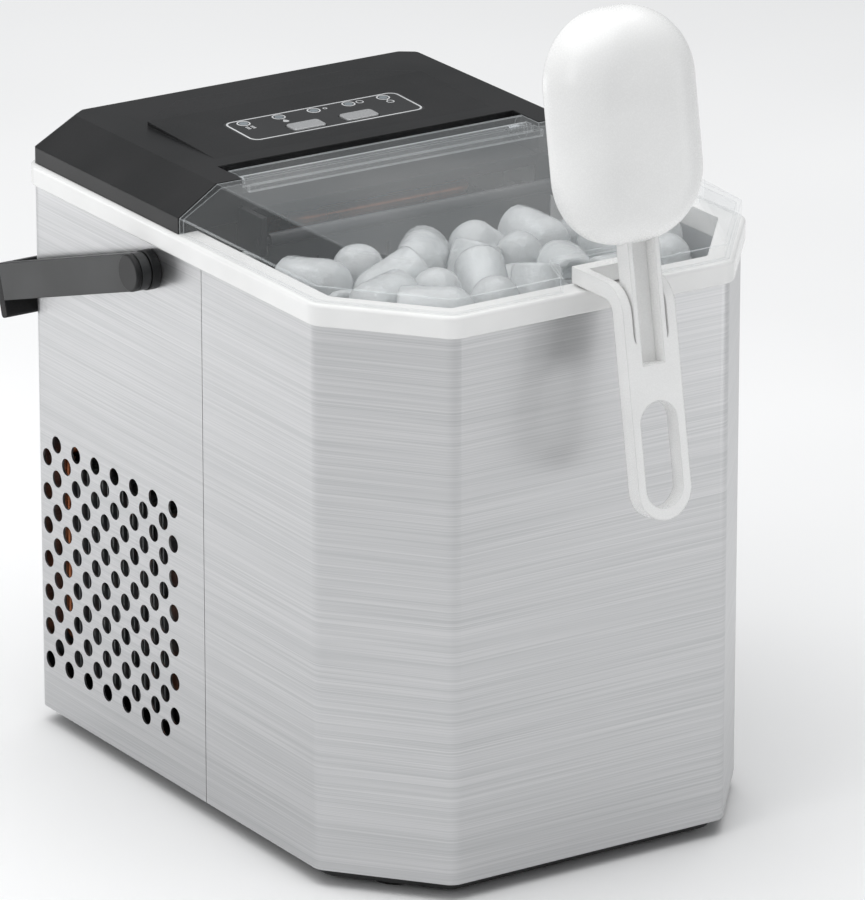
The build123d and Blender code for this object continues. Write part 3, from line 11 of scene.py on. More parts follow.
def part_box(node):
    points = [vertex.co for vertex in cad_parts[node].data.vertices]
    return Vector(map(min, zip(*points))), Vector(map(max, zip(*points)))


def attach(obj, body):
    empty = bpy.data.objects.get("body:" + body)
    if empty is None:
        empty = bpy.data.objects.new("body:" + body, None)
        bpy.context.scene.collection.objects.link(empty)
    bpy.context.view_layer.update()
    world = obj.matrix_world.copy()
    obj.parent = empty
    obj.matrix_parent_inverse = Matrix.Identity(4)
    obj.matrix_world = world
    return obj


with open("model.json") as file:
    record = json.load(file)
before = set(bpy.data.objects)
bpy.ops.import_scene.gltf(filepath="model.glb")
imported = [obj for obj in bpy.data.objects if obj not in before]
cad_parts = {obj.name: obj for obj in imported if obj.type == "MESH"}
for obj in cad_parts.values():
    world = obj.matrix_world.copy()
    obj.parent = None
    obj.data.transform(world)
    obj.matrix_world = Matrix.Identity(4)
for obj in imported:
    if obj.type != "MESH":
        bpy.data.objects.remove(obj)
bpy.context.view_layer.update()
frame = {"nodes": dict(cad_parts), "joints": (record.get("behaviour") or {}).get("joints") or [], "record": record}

bl_info = {
    "name": "Ice maker",
    "version": (1, 0, 0),
    "blender": (4, 5, 0),
    "location": "View3D > Sidebar > Ice maker",
    "description": "Finishes and soft detail for a countertop bullet-ice maker",
    "category": "Object",
}

MM = 0.001


# ---------------------------------------------------------------- places read from the machine
def middle(node):
    """Middle of a part's box."""
    low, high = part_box(node)
    return (low + high) / 2


def joint_axis(name):
    """Direction of a named joint."""
    for joint in frame["joints"]:
        if joint["name"] == name:
            return Vector(joint["axis"])
    raise ValueError(f"no joint named {name}")


KEYPAD_OUT = -joint_axis("power_press")          # out of the keypad's face
KEYPAD_UP = KEYPAD_OUT.cross(Vector((1, 0, 0)))  # up the slope, towards the rear
OVERLAY_T = 0.6 * MM
INK_SUNK = 0.02 * MM                             # printed marks start this far inside the film


def on_keypad(x, up, proud=0.0):
    """Point above the keypad's face: x to the right and up towards the rear, in metres."""
    face = middle("keypad_overlay") + KEYPAD_OUT * (OVERLAY_T / 2)
    return face + Vector((x, 0, 0)) + KEYPAD_UP * up + KEYPAD_OUT * proud


# ---------------------------------------------------------------- colour and nodes
def linear(hex_code):
    """sRGB hex to linear red, green and blue."""
    parts = [int(hex_code[i : i + 2], 16) / 255 for i in (0, 2, 4)]
    return tuple(c / 12.92 if c <= 0.04045 else ((c + 0.055) / 1.055) ** 2.4 for c in parts)


def rgba(colour):
    """A colour with full opacity."""
    return (*colour[:3], 1.0)


def add_node(tree, kind, inputs=None, **settings):
    """Adds a node, sets its properties, and sets or links its inputs."""
    node = tree.nodes.new(kind)
    for name, value in settings.items():
        setattr(node, name, value)
    for socket, value in (inputs or {}).items():
        if isinstance(value, bpy.types.NodeSocket):
            tree.links.new(value, node.inputs[socket])
        else:
            node.inputs[socket].default_value = value
    return node


def start_material(name, colour, **sockets):
    """A material with one Principled shader whose uniform values are set on its own sockets."""
    material = bpy.data.materials.new(name)
    material.use_nodes = True
    tree = material.node_tree
    shader = tree.nodes["Principled BSDF"]
    shader.inputs["Base Color"].default_value = rgba(colour)
    for socket, value in sockets.items():
        shader.inputs[socket.replace("_", " ")].default_value = value
    return material, tree, shader


def per_mm(size_mm):
    """Texture scale that repeats about once in size_mm."""
    return 1 / (size_mm * MM)


def pattern(tree, size_mm, detail=2.0, stretch=(1, 1, 1)):
    """Noise of a real size on the object's own coordinates; stretch above 1 lengthens an axis."""
    place = add_node(tree, "ShaderNodeTexCoord")
    scaled = add_node(
        tree,
        "ShaderNodeMapping",
        {"Vector": place.outputs["Object"], "Scale": [1 / s for s in stretch]},
    )
    noise = add_node(
        tree,
        "ShaderNodeTexNoise",
        {"Vector": scaled.outputs["Vector"], "Scale": per_mm(size_mm), "Detail": detail},
    )
    return noise.outputs["Fac"]


def shade_by(tree, shader, value, dark, light, low=0.35, high=0.65):
    """Base colour between dark and light by a pattern."""
    spread = add_node(
        tree, "ShaderNodeMapRange", {"Value": value, "From Min": low, "From Max": high}
    )
    blend = add_node(
        tree,
        "ShaderNodeMix",
        {0: spread.outputs["Result"], 6: rgba(dark), 7: rgba(light)},
        data_type="RGBA",
    )
    tree.links.new(blend.outputs[2], shader.inputs["Base Color"])


def rough_by(tree, shader, value, smooth, rough):
    """Roughness between two values by a pattern."""
    spread = add_node(
        tree,
        "ShaderNodeMapRange",
        {"Value": value, "From Min": 0.3, "From Max": 0.7, "To Min": smooth, "To Max": rough},
    )
    tree.links.new(spread.outputs["Result"], shader.inputs["Roughness"])


def relief_by(tree, shader, value, depth_mm, strength=0.5, edge_mm=0.0):
    """Fine relief from a pattern, over an edge softened to edge_mm."""
    bump = add_node(
        tree,
        "ShaderNodeBump",
        {"Height": value, "Distance": depth_mm * MM, "Strength": strength},
    )
    if edge_mm:
        edge = add_node(tree, "ShaderNodeBevel", {"Radius": edge_mm * MM}, samples=4)
        tree.links.new(edge.outputs["Normal"], bump.inputs["Normal"])
    tree.links.new(bump.outputs["Normal"], shader.inputs["Normal"])


def moulded(
    name, dark, light, rough=(0.3, 0.4), grain_mm=0.6, depth_mm=0.02, edge_mm=0.6, **sockets
):
    """Injection-moulded plastic: faint flow shading, a fine tool grain and softened edges."""
    material, tree, shader = start_material(name, light, **sockets)
    shade_by(tree, shader, pattern(tree, 35), dark, light)
    grain = pattern(tree, grain_mm, 3.0)
    rough_by(tree, shader, grain, *rough)
    relief_by(tree, shader, grain, depth_mm, edge_mm=edge_mm)
    return material


# ---------------------------------------------------------------- materials
def brushed_stainless_sheet(look):
    """430 stainless, belt brushed along the sheet: long level hairlines that catch the light.

    Real hairlines are under 0.1 mm; they are drawn about 0.4 mm coarse so that they show."""
    material, tree, shader = start_material(
        "brushed_stainless_sheet", look.stainless, Metallic=1.0, Anisotropic=0.5
    )
    hairline = pattern(tree, 0.4, 2.0, (300, 300, 1))
    streak = pattern(tree, 0.9, 2.0, (180, 180, 1))
    both = add_node(tree, "ShaderNodeMath", {0: hairline, 1: streak}, operation="ADD")
    half = add_node(tree, "ShaderNodeMath", {0: both.outputs[0], 1: 0.5}, operation="MULTIPLY")
    shade_by(tree, shader, half.outputs[0], look.stainless_dark, look.stainless, 0.38, 0.62)
    rough_by(tree, shader, half.outputs[0], 0.28, 0.36)
    relief_by(tree, shader, half.outputs[0], 0.02, 0.12)
    return material


def white_abs_moulded(look):
    """Gloss white ABS from a polished mould: clean, with soft wide highlights."""
    return moulded(
        "white_abs_moulded", linear("F0F0EF"), look.white, (0.2, 0.26), 0.5, 0.004, 0.8, IOR=1.53
    )


def black_abs_moulded(look):
    """Black ABS from a finely spark-eroded mould: satin, with a close grain."""
    return moulded(
        "black_abs_moulded", linear("131415"), look.black, (0.38, 0.48), 0.5, 0.02, 0.9,
        Specular_IOR_Level=0.3,
    )


def clear_polycarbonate_moulded(look):
    """Clear PC moulding: glossy and nearly invisible face on, with a painted white highlight along its edges."""
    material, tree, shader = start_material(
        "clear_polycarbonate_moulded", look.clear, Roughness=0.04, IOR=1.58, Coat_Weight=0.3
    )
    facing = add_node(tree, "ShaderNodeLayerWeight", {"Blend": 0.5})
    glancing = add_node(
        tree, "ShaderNodeMath", {0: facing.outputs["Facing"], 1: 5.0}, operation="POWER"
    )
    veil = add_node(
        tree,
        "ShaderNodeMapRange",
        {"Value": glancing.outputs[0], "To Min": 0.03, "To Max": 0.6},
    )
    # painted highlight: the plastic is made more opaque, so whiter, where the softened normal leaves the face's
    # own
    face = add_node(tree, "ShaderNodeNewGeometry")
    soft = add_node(tree, "ShaderNodeBevel", {"Radius": 0.9 * MM}, samples=4)
    same = add_node(
        tree,
        "ShaderNodeVectorMath",
        {0: soft.outputs["Normal"], 1: face.outputs["True Normal"]},
        operation="DOT_PRODUCT",
    )
    edge = add_node(
        tree,
        "ShaderNodeMapRange",
        {"Value": same.outputs["Value"], "From Min": 0.995, "From Max": 0.9, "To Max": 0.55},
    )
    # alpha holds the glancing veil and the painted edge highlight
    alpha = add_node(
        tree,
        "ShaderNodeMath",
        {0: veil.outputs["Result"], 1: edge.outputs["Result"]},
        operation="MAXIMUM",
    )
    tree.links.new(alpha.outputs[0], shader.inputs["Alpha"])
    ripple = pattern(tree, 60, 1.0)
    shade_by(tree, shader, ripple, linear("DCE1E3"), look.clear)
    relief_by(tree, shader, ripple, 0.02, 0.1)
    return material


def grey_abs_moulded(look):
    """Dark grey ABS: a silky moulded face with softly rounded edges."""
    return moulded(
        "grey_abs_moulded", linear("1E1F20"), look.handle, (0.36, 0.46), 0.5, 0.02, 0.9,
        Specular_IOR_Level=0.4,
    )


def black_tpe_moulded(look):
    """Soft TPE grip: matt black with a leathery grain."""
    return moulded(
        "black_tpe_moulded", linear("0C0C0D"), linear("19191A"), (0.6, 0.75), 0.8, 0.06, 0.8
    )


def scoop_polypropylene_moulded(look):
    """White food-grade PP: an even, slightly waxy gloss."""
    return moulded(
        "scoop_polypropylene_moulded", linear("F4F4F3"), look.scoop, (0.24, 0.3), 0.5, 0.004, 0.9,
        IOR=1.49,
    )


def keypad_film_printed(look):
    """Polyester film printed black from behind: flat, a little glossier than the cover."""
    return moulded(
        "keypad_film_printed", linear("161617"), linear("1E1F20"), (0.28, 0.36), 0.4, 0.008, 0.3
    )


def silver_ink_printed(look):
    """Screen-printed silver grey ink: flat and slightly grainy."""
    return moulded(
        "silver_ink_printed", linear("B5B6B7"), linear("D5D6D7"), (0.4, 0.5), 0.3, 0.005, 0.0
    )


def silver_keys_painted(look):
    """ABS keys under silver paint: fine metallic flake."""
    material, tree, shader = start_material(
        "silver_keys_painted", look.key, Metallic=0.35, Roughness=0.35
    )
    flake = pattern(tree, 0.35, 1.0)
    shade_by(tree, shader, flake, linear("9A9B9C"), look.key)
    relief_by(tree, shader, flake, 0.01, 0.4, edge_mm=0.4)
    return material


def lamp_lens_moulded(look):
    """Grey diffusing acrylic lamp lens: smooth and glossy."""
    return moulded(
        "lamp_lens_moulded", linear("6D7478"), linear("899196"), (0.15, 0.2), 0.8, 0.005, 0.3
    )


def food_abs_moulded(look):
    """Light grey food-grade ABS for the wet side: clean satin with faint flow marks."""
    return moulded(
        "food_abs_moulded", linear("A9ABAD"), linear("C2C4C6"), (0.3, 0.4), 0.9, 0.015, 0.7
    )


def basket_polypropylene_moulded(look):
    """Pale grey PP basket: a soft even gloss."""
    return moulded(
        "basket_polypropylene_moulded", linear("C4C7C9"), linear("DADDDE"), (0.28, 0.38), 1.1, 0.015
    )


def dark_flap_moulded(look):
    """Dark grey PP slats of the curtain: low sheen."""
    return moulded(
        "dark_flap_moulded", linear("232426"), linear("3C3D40"), (0.35, 0.5), 0.6, 0.02, 0.4
    )


def expanded_polystyrene(look):
    """EPS foam: fused beads about 3 mm across, drawn as soft cells."""
    material, tree, shader = start_material("expanded_polystyrene", linear("E4E3DD"), Roughness=0.85)
    place = add_node(tree, "ShaderNodeTexCoord")
    beads = add_node(
        tree,
        "ShaderNodeTexVoronoi",
        {"Vector": place.outputs["Object"], "Scale": per_mm(3.0)},
    )
    shade_by(tree, shader, beads.outputs["Distance"], linear("EFEEE9"), linear("CFCEC8"), 0.1, 0.7)
    relief_by(tree, shader, beads.outputs["Distance"], 0.25, 0.6)
    return material


def metal(name, dark, light, rough, grain_mm, stretch=(1, 1, 1), depth_mm=0.02, edge_mm=0.4):
    """Bare or plated metal with a drawn, rolled or plated grain."""
    material, tree, shader = start_material(name, light, Metallic=1.0)
    grain = pattern(tree, grain_mm, 3.0, stretch)
    shade_by(tree, shader, grain, dark, light)
    rough_by(tree, shader, grain, *rough)
    relief_by(tree, shader, grain, depth_mm, 0.3, edge_mm)
    return material


def nickel_plated_copper(look):
    """Nickel plate over copper: warm silver, nearly a mirror with faint plating orange peel."""
    return metal(
        "nickel_plated_copper", linear("A8A49A"), linear("CFCBC0"), (0.12, 0.22), 2.0
    )


def copper_tube_drawn(look):
    """Drawn copper tube: bright salmon metal with darker heat tint in patches."""
    return metal(
        "copper_tube_drawn", linear("8F5338"), linear("D08A63"), (0.22, 0.38), 14, depth_mm=0.01
    )


def aluminium_fin_rolled(look):
    """Rolled aluminium fin stock: dull silver with rolling lines."""
    return metal(
        "aluminium_fin_rolled", linear("8D9092"), linear("B9BBBD"), (0.35, 0.5), 1.5, (1, 1, 12)
    )


def zinc_plated_sheet(look):
    """Zinc-plated steel: cool grey with a faint cloudy spangle."""
    return metal("zinc_plated_sheet", linear("8B9094"), linear("BCC0C4"), (0.3, 0.45), 7)


def zinc_plated_screw(look):
    """Zinc-plated screw: bright, with a fine mottled plating grain."""
    return metal("zinc_plated_screw", linear("90959A"), linear("C9CCD0"), (0.2, 0.35), 0.6)


def black_stoved_enamel(look):
    """Stoved enamel on deep-drawn steel: deep black with slight orange peel."""
    return moulded(
        "black_stoved_enamel", linear("0B0B0C"), linear("1A1A1B"), (0.22, 0.32), 2.5, 0.05, 1.0
    )


def glass_filled_nylon_moulded(look):
    """Black glass-filled PA: matt, with a fine mottled surface."""
    return moulded(
        "glass_filled_nylon_moulded", linear("131314"), linear("242425"), (0.5, 0.65), 0.7, 0.04
    )


def black_rubber_moulded(look):
    """EPDM rubber: matt black with a dusty bloom."""
    return moulded("black_rubber_moulded", linear("101010"), linear("222222"), (0.65, 0.8), 1.0, 0.05)


def silicone_tube_extruded(look):
    """Milky silicone tube: soft sheen."""
    return moulded("silicone_tube_extruded", linear("CDD1D0"), linear("E2E5E4"), (0.3, 0.4), 2.0, 0.01)


def circuit_board_laminate(look):
    """Green solder mask over glass laminate: glossy, with copper runs as darker and paler green."""
    material, tree, shader = start_material(
        "circuit_board_laminate", linear("12542C"), Coat_Weight=0.3
    )
    runs = pattern(tree, 1.6, 1.0, (6, 1, 1))
    shade_by(tree, shader, runs, linear("0C3F20"), linear("1A6B3A"), 0.45, 0.55)
    rough_by(tree, shader, runs, 0.25, 0.4)
    relief_by(tree, shader, runs, 0.03, 0.4)
    return material


def bullet_ice(look):
    """Ice frozen on cold fingers: milky, half clear, wet and gently rippled."""
    material, tree, shader = start_material(
        "bullet_ice", look.ice, IOR=1.31, Transmission_Weight=0.5, Specular_IOR_Level=1.0
    )
    cloud = pattern(tree, 9.0, 3.0)
    shade_by(tree, shader, cloud, linear("F3F6F7"), look.ice)
    rough_by(tree, shader, cloud, 0.02, 0.14)
    relief_by(tree, shader, pattern(tree, 4.0, 2.0), 0.8, 0.7)
    return material


def studio_floor_paint(look):
    """Smooth matt white paint with the faintest unevenness."""
    material, tree, shader = start_material("studio_floor_paint", look.floor, Roughness=0.85)
    shade_by(tree, shader, pattern(tree, 400), linear("FAFAFA"), look.floor)
    return material


FINISHES = {
    "stainless": brushed_stainless_sheet,
    "white_abs": white_abs_moulded,
    "black_abs": black_abs_moulded,
    "clear_pc": clear_polycarbonate_moulded,
    "handle_abs": grey_abs_moulded,
    "grip_rubber": black_tpe_moulded,
    "scoop_pp": scoop_polypropylene_moulded,
    "keypad_film": keypad_film_printed,
    "silver_key": silver_keys_painted,
    "lamp_lens": lamp_lens_moulded,
    "tank_abs": food_abs_moulded,
    "foam": expanded_polystyrene,
    "basket_pp": basket_polypropylene_moulded,
    "dark_slats": dark_flap_moulded,
    "nickel": nickel_plated_copper,
    "copper": copper_tube_drawn,
    "fin_aluminium": aluminium_fin_rolled,
    "steel_zinc": zinc_plated_sheet,
    "black_paint": black_stoved_enamel,
    "black_pp": glass_filled_nylon_moulded,
    "rubber": black_rubber_moulded,
    "silicone": silicone_tube_extruded,
    "circuit_board": circuit_board_laminate,
    "screw_steel": zinc_plated_screw,
}
materials_made = {}


def finish(maker):
    """The material of a maker function, made once."""
    if maker not in materials_made:
        materials_made[maker] = maker(bpy.context.scene.ice_maker_look)
    return materials_made[maker]


def finish_nodes(names):
    """Gives the machine's parts the finish of their slot."""
    slots = {row["node"]: row["material_slot"] for row in frame["record"]["subparts"]}
    for name in names:
        part = frame["nodes"][name]
        for slot in part.material_slots:
            slot.material = finish(FINISHES[slots[name]])


# ---------------------------------------------------------------- meshes
def new_piece(name, builder, material, smooth=True):
    """An object from a bmesh that builder fills."""
    mesh = bpy.data.meshes.new(name)
    work = bmesh.new()
    builder(work)
    bmesh.ops.recalc_face_normals(work, faces=work.faces)
    work.to_mesh(mesh)
    work.free()
    for face in mesh.polygons:
        face.use_smooth = smooth
    mesh.materials.append(material)
    piece = bpy.data.objects.new(name, mesh)
    bpy.context.scene.collection.objects.link(piece)
    return piece


def rounded_outline(width, height, radius, steps=8):
    """Points of a rounded rectangle about the origin, anticlockwise."""
    points = []
    for turn, (sx, sy) in enumerate([(1, 1), (-1, 1), (-1, -1), (1, -1)]):
        cx = sx * (width / 2 - radius)
        cy = sy * (height / 2 - radius)
        for step in range(steps + 1):
            angle = math.radians(90 * turn + 90 * step / steps)
            points.append((cx + radius * math.cos(angle), cy + radius * math.sin(angle)))
    return points


def raised_band(work, outer, inner, height):
    """A closed printed band on the keypad between two outlines with equal point counts."""
    rings = []
    for outline, proud in ((outer, -INK_SUNK), (outer, height), (inner, height), (inner, -INK_SUNK)):
        rings.append([work.verts.new(on_keypad(x, up, proud)) for x, up in outline])
    for ring, following in zip(rings, rings[1:] + rings[:1]):
        for i in range(len(ring)):
            j = (i + 1) % len(ring)
            work.faces.new((ring[i], ring[j], following[j], following[i]))


def raised_patch(work, outline, height):
    """A closed printed patch on the keypad."""
    low = [work.verts.new(on_keypad(x, up, -INK_SUNK)) for x, up in outline]
    high = [work.verts.new(on_keypad(x, up, height)) for x, up in outline]
    work.faces.new(high)
    work.faces.new(low[::-1])
    for i in range(len(low)):
        j = (i + 1) % len(low)
        work.faces.new((low[i], low[j], high[j], high[i]))


def shifted(outline, x, up):
    """An outline moved along the keypad."""
    return [(px + x, py + up) for px, py in outline]


def circle_outline(radius, steps=32):
    """Points of a circle about the origin, anticlockwise."""
    return [
        (radius * math.cos(math.tau * i / steps), radius * math.sin(math.tau * i / steps))
        for i in range(steps)
    ]


# ---------------------------------------------------------------- user values
class IceMakerSizes(bpy.types.PropertyGroup):
    """Sizes of the pieces made here."""

    print_line: bpy.props.FloatProperty(
        name="Print line", description="Width of the keypad's outline", default=0.9 * MM, unit="LENGTH"
    )
    print_height: bpy.props.FloatProperty(
        name="Print height", description="Ink above the film", default=0.08 * MM, unit="LENGTH"
    )
    ring_radius: bpy.props.FloatProperty(
        name="Lamp ring", description="Outer radius of a lamp's ring", default=3.2 * MM, unit="LENGTH"
    )
    bullet_radius: bpy.props.FloatProperty(
        name="Bullet radius", description="Radius of an ice bullet", default=12.0 * MM, unit="LENGTH"
    )
    bullet_length: bpy.props.FloatProperty(
        name="Bullet length", description="Length of an ice bullet", default=34.0 * MM, unit="LENGTH"
    )
    bullet_count: bpy.props.IntProperty(
        name="Bullets", description="Ice bullets in the basket", default=132, min=1
    )
    floor_size: bpy.props.FloatProperty(
        name="Floor", description="Side of the studio floor", default=8.0, unit="LENGTH"
    )


class IceMakerLook(bpy.types.PropertyGroup):
    """Main colours."""

    stainless: bpy.props.FloatVectorProperty(
        name="Stainless", description="Bright hairlines", subtype="COLOR", default=linear("C9C9CA")
    )
    stainless_dark: bpy.props.FloatVectorProperty(
        name="Stainless, dark", description="Dark hairlines", subtype="COLOR", default=linear("B6B7B8")
    )
    white: bpy.props.FloatVectorProperty(
        name="White", description="Rim band", subtype="COLOR", default=linear("F6F6F5")
    )
    black: bpy.props.FloatVectorProperty(
        name="Black", description="Top cover", subtype="COLOR", default=linear("1C1C1D")
    )
    clear: bpy.props.FloatVectorProperty(
        name="Clear", description="Lid", subtype="COLOR", default=linear("F2F5F6")
    )
    handle: bpy.props.FloatVectorProperty(
        name="Handle", description="Carry handle", subtype="COLOR", default=linear("2C2D2E")
    )
    scoop: bpy.props.FloatVectorProperty(
        name="Scoop", description="Scoop", subtype="COLOR", default=linear("F9F9F8")
    )
    key: bpy.props.FloatVectorProperty(
        name="Keys", description="Silver keys", subtype="COLOR", default=linear("BFC0C1")
    )
    ice: bpy.props.FloatVectorProperty(
        name="Ice", description="Ice bullets", subtype="COLOR", default=linear("FBFDFE")
    )
    floor: bpy.props.FloatVectorProperty(
        name="Floor", description="Studio floor", subtype="COLOR", default=linear("FFFFFF")
    )


# ---------------------------------------------------------------- operators
HOUSING = [
    "front_shell", "rear_shell", "rim_band", "top_cover", "base_pan", "rubber_feet", "shell_screws",
]
CONTROLS = [
    "keypad_overlay", "indicator_lenses", "power_button", "select_button", "control_board",
]
LID = ["lid", "hinge_pins", "scoop"]
HANDLE = ["carry_handle", "handle_grip", "handle_pivots", "handle_brackets"]
WET_SIDE = [
    "inner_tank", "tank_insulation", "drain_spout", "drain_plug", "ice_basket", "curtain_flap",
    "water_tray", "ice_rake", "tray_bearing", "tray_motor", "ice_chute", "water_pump", "fill_hose",
    "float_stem", "level_float", "ice_sensors",
]


class ICEMAKER_OT_housing(bpy.types.Operator):
    """Stainless shells, rim band, cover, base and feet"""

    bl_idname = "ice_maker.housing"
    bl_label = "Housing"

    def execute(self, context):
        finish_nodes(HOUSING)
        return {"FINISHED"}


class ICEMAKER_OT_controls(bpy.types.Operator):
    """Keypad film, lamps, keys and their board"""

    bl_idname = "ice_maker.controls"
    bl_label = "Controls"

    def execute(self, context):
        finish_nodes(CONTROLS)
        return {"FINISHED"}


class ICEMAKER_OT_lid(bpy.types.Operator):
    """Clear lid, its pins and the scoop"""

    bl_idname = "ice_maker.lid"
    bl_label = "Lid and scoop"

    def execute(self, context):
        finish_nodes(LID)
        return {"FINISHED"}


class ICEMAKER_OT_handle(bpy.types.Operator):
    """Carry handle, grip and pivots"""

    bl_idname = "ice_maker.handle"
    bl_label = "Carry handle"

    def execute(self, context):
        finish_nodes(HANDLE)
        return {"FINISHED"}


class ICEMAKER_OT_wet_side(bpy.types.Operator):
    """Tank, basket, tray, pump and the pieces round them"""

    bl_idname = "ice_maker.wet_side"
    bl_label = "Tank and ice works"

    def execute(self, context):
        finish_nodes(WET_SIDE)
        return {"FINISHED"}


class ICEMAKER_OT_cold_side(bpy.types.Operator):
    """Refrigeration unit, evaporator and electrics: every part that isn't finished yet"""

    bl_idname = "ice_maker.cold_side"
    bl_label = "Refrigeration and electrics"

    def execute(self, context):
        done = set(HOUSING + CONTROLS + LID + HANDLE + WET_SIDE)
        finish_nodes(sorted(set(frame["nodes"]) - done))
        return {"FINISHED"}


PRINT_MARGIN = 1.0 * MM         # bare film round the printed outline
PRINT_CORNER = 4.5 * MM         # corner radius of the outline
RING_LINE = 0.7 * MM
LENS_R = 2.0 * MM
LAMPS = range(-2, 3)            # the five lamps, counted from the middle one
MARK_DROP = 6.2 * MM            # from a lamp down to its mark
MARK_ASIDE = 6.0 * MM           # from a lamp to the size mark beside it
MARK_LINE = 0.5 * MM
SMALL_MARK_R = 1.1 * MM
LARGE_MARK_R = 1.9 * MM


def stacked_bars(work, x, up, height):
    """Basket full: two columns of three short bars."""
    bar = rounded_outline(1.6 * MM, 0.7 * MM, 0.3 * MM, 3)
    pitch = 1.3 * MM
    for row in (-1, 0, 1):
        for column in (-1, 1):
            raised_patch(work, shifted(bar, x + column * pitch, up + row * pitch), height)


def water_drop(work, x, up, height):
    """Add water: a drop, drawn as a circle whose upper half is pulled to a point."""
    drop = []
    for px, py in circle_outline(1.5 * MM, 20):
        if py < 0:
            drop.append((px, py))
        else:
            drop.append((px * (1 - py / (1.9 * MM)), py * 1.5))
    raised_patch(work, shifted(drop, x, up), height)


def ring_mark(work, x, up, radius, line, height):
    """A printed ring."""
    outer = shifted(circle_outline(radius), x, up)
    inner = shifted(circle_outline(radius - line), x, up)
    raised_band(work, outer, inner, height)


def power_mark(work, x, up, height):
    """Power: a ring and an upright bar."""
    ring_mark(work, x, up, 1.9 * MM, 0.6 * MM, height)
    upright = rounded_outline(0.6 * MM, 2.2 * MM, 0.25 * MM, 3)
    raised_patch(work, shifted(upright, x, up + 2.4 * MM), height)


class ICEMAKER_OT_keypad_print(bpy.types.Operator):
    """Outline, lamp rings and generic symbols printed on the keypad"""

    bl_idname = "ice_maker.keypad_print"
    bl_label = "Keypad print"

    def execute(self, context):
        sizes = context.scene.ice_maker_sizes
        line = sizes.print_line
        ink_height = sizes.print_height
        low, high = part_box("keypad_overlay")
        width = high.x - low.x - 2 * PRINT_MARGIN
        depth = high.y - low.y - 2 * PRINT_MARGIN
        first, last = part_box("indicator_lenses")
        spacing = (last.x - first.x - 2 * LENS_R) / (len(LAMPS) - 1)
        lens_up = middle("indicator_lenses").y - middle("keypad_overlay").y
        mark_up = lens_up - MARK_DROP

        def outline(work):
            outer = rounded_outline(width, depth, PRINT_CORNER)
            inner = rounded_outline(width - 2 * line, depth - 2 * line, PRINT_CORNER - line)
            raised_band(work, outer, inner, ink_height)

        def rings(work):
            for lamp in LAMPS:
                ring_mark(work, lamp * spacing, lens_up, sizes.ring_radius, RING_LINE, ink_height)

        def symbols(work):
            stacked_bars(work, -2 * spacing, mark_up, ink_height)
            water_drop(work, -spacing, mark_up, ink_height)
            ring_mark(work, MARK_ASIDE, lens_up, SMALL_MARK_R, MARK_LINE, ink_height)
            ring_mark(work, spacing + MARK_ASIDE, lens_up, LARGE_MARK_R, MARK_LINE, ink_height)
            power_mark(work, 2 * spacing, mark_up, ink_height)

        prints = [("keypad_outline", outline), ("lamp_rings", rings), ("keypad_symbols", symbols)]
        for name, builder in prints:
            mark = new_piece(name, builder, finish(silver_ink_printed), smooth=False)
            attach(mark, "housing")
        return {"FINISHED"}


# the basket as the ice meets it, each allowance a little over the real one
BASKET_LIP = 3.7 * MM           # the flange stands out 3.5 mm past the walls
BASKET_WALL = 2.2 * MM          # the walls are 2 mm thick
CURTAIN_FRONT = -32 * MM        # the ice stays in front of the curtain's swing
FRONT_ROOM = 10 * MM            # bullets start this far behind their foremost place
LID_ROOM = 18 * MM              # below the lid's top: its slope, its thickness and the basket's lift
CORNER_ACROSS = 40 * MM         # width of a cut front corner along X
CORNER_NORMAL = Vector((0.768, 0.640))  # outward across a cut corner, 40 mm by 48 mm
CORNER_INSET = 18.5 * MM        # from the housing's cut face to the inside of the basket
DROP_HEIGHT = 0.15              # the bullets start in a column this tall, in metres
SETTLE_SEED = 11
SETTLE_STEPS = 360
FALLING_STEPS = 300
FALL_STEP = 0.25 * MM
PUSHES_A_STEP = 3
PUSH_SHARE = 0.25               # how much of an overlap one push clears
TINY = 1e-9


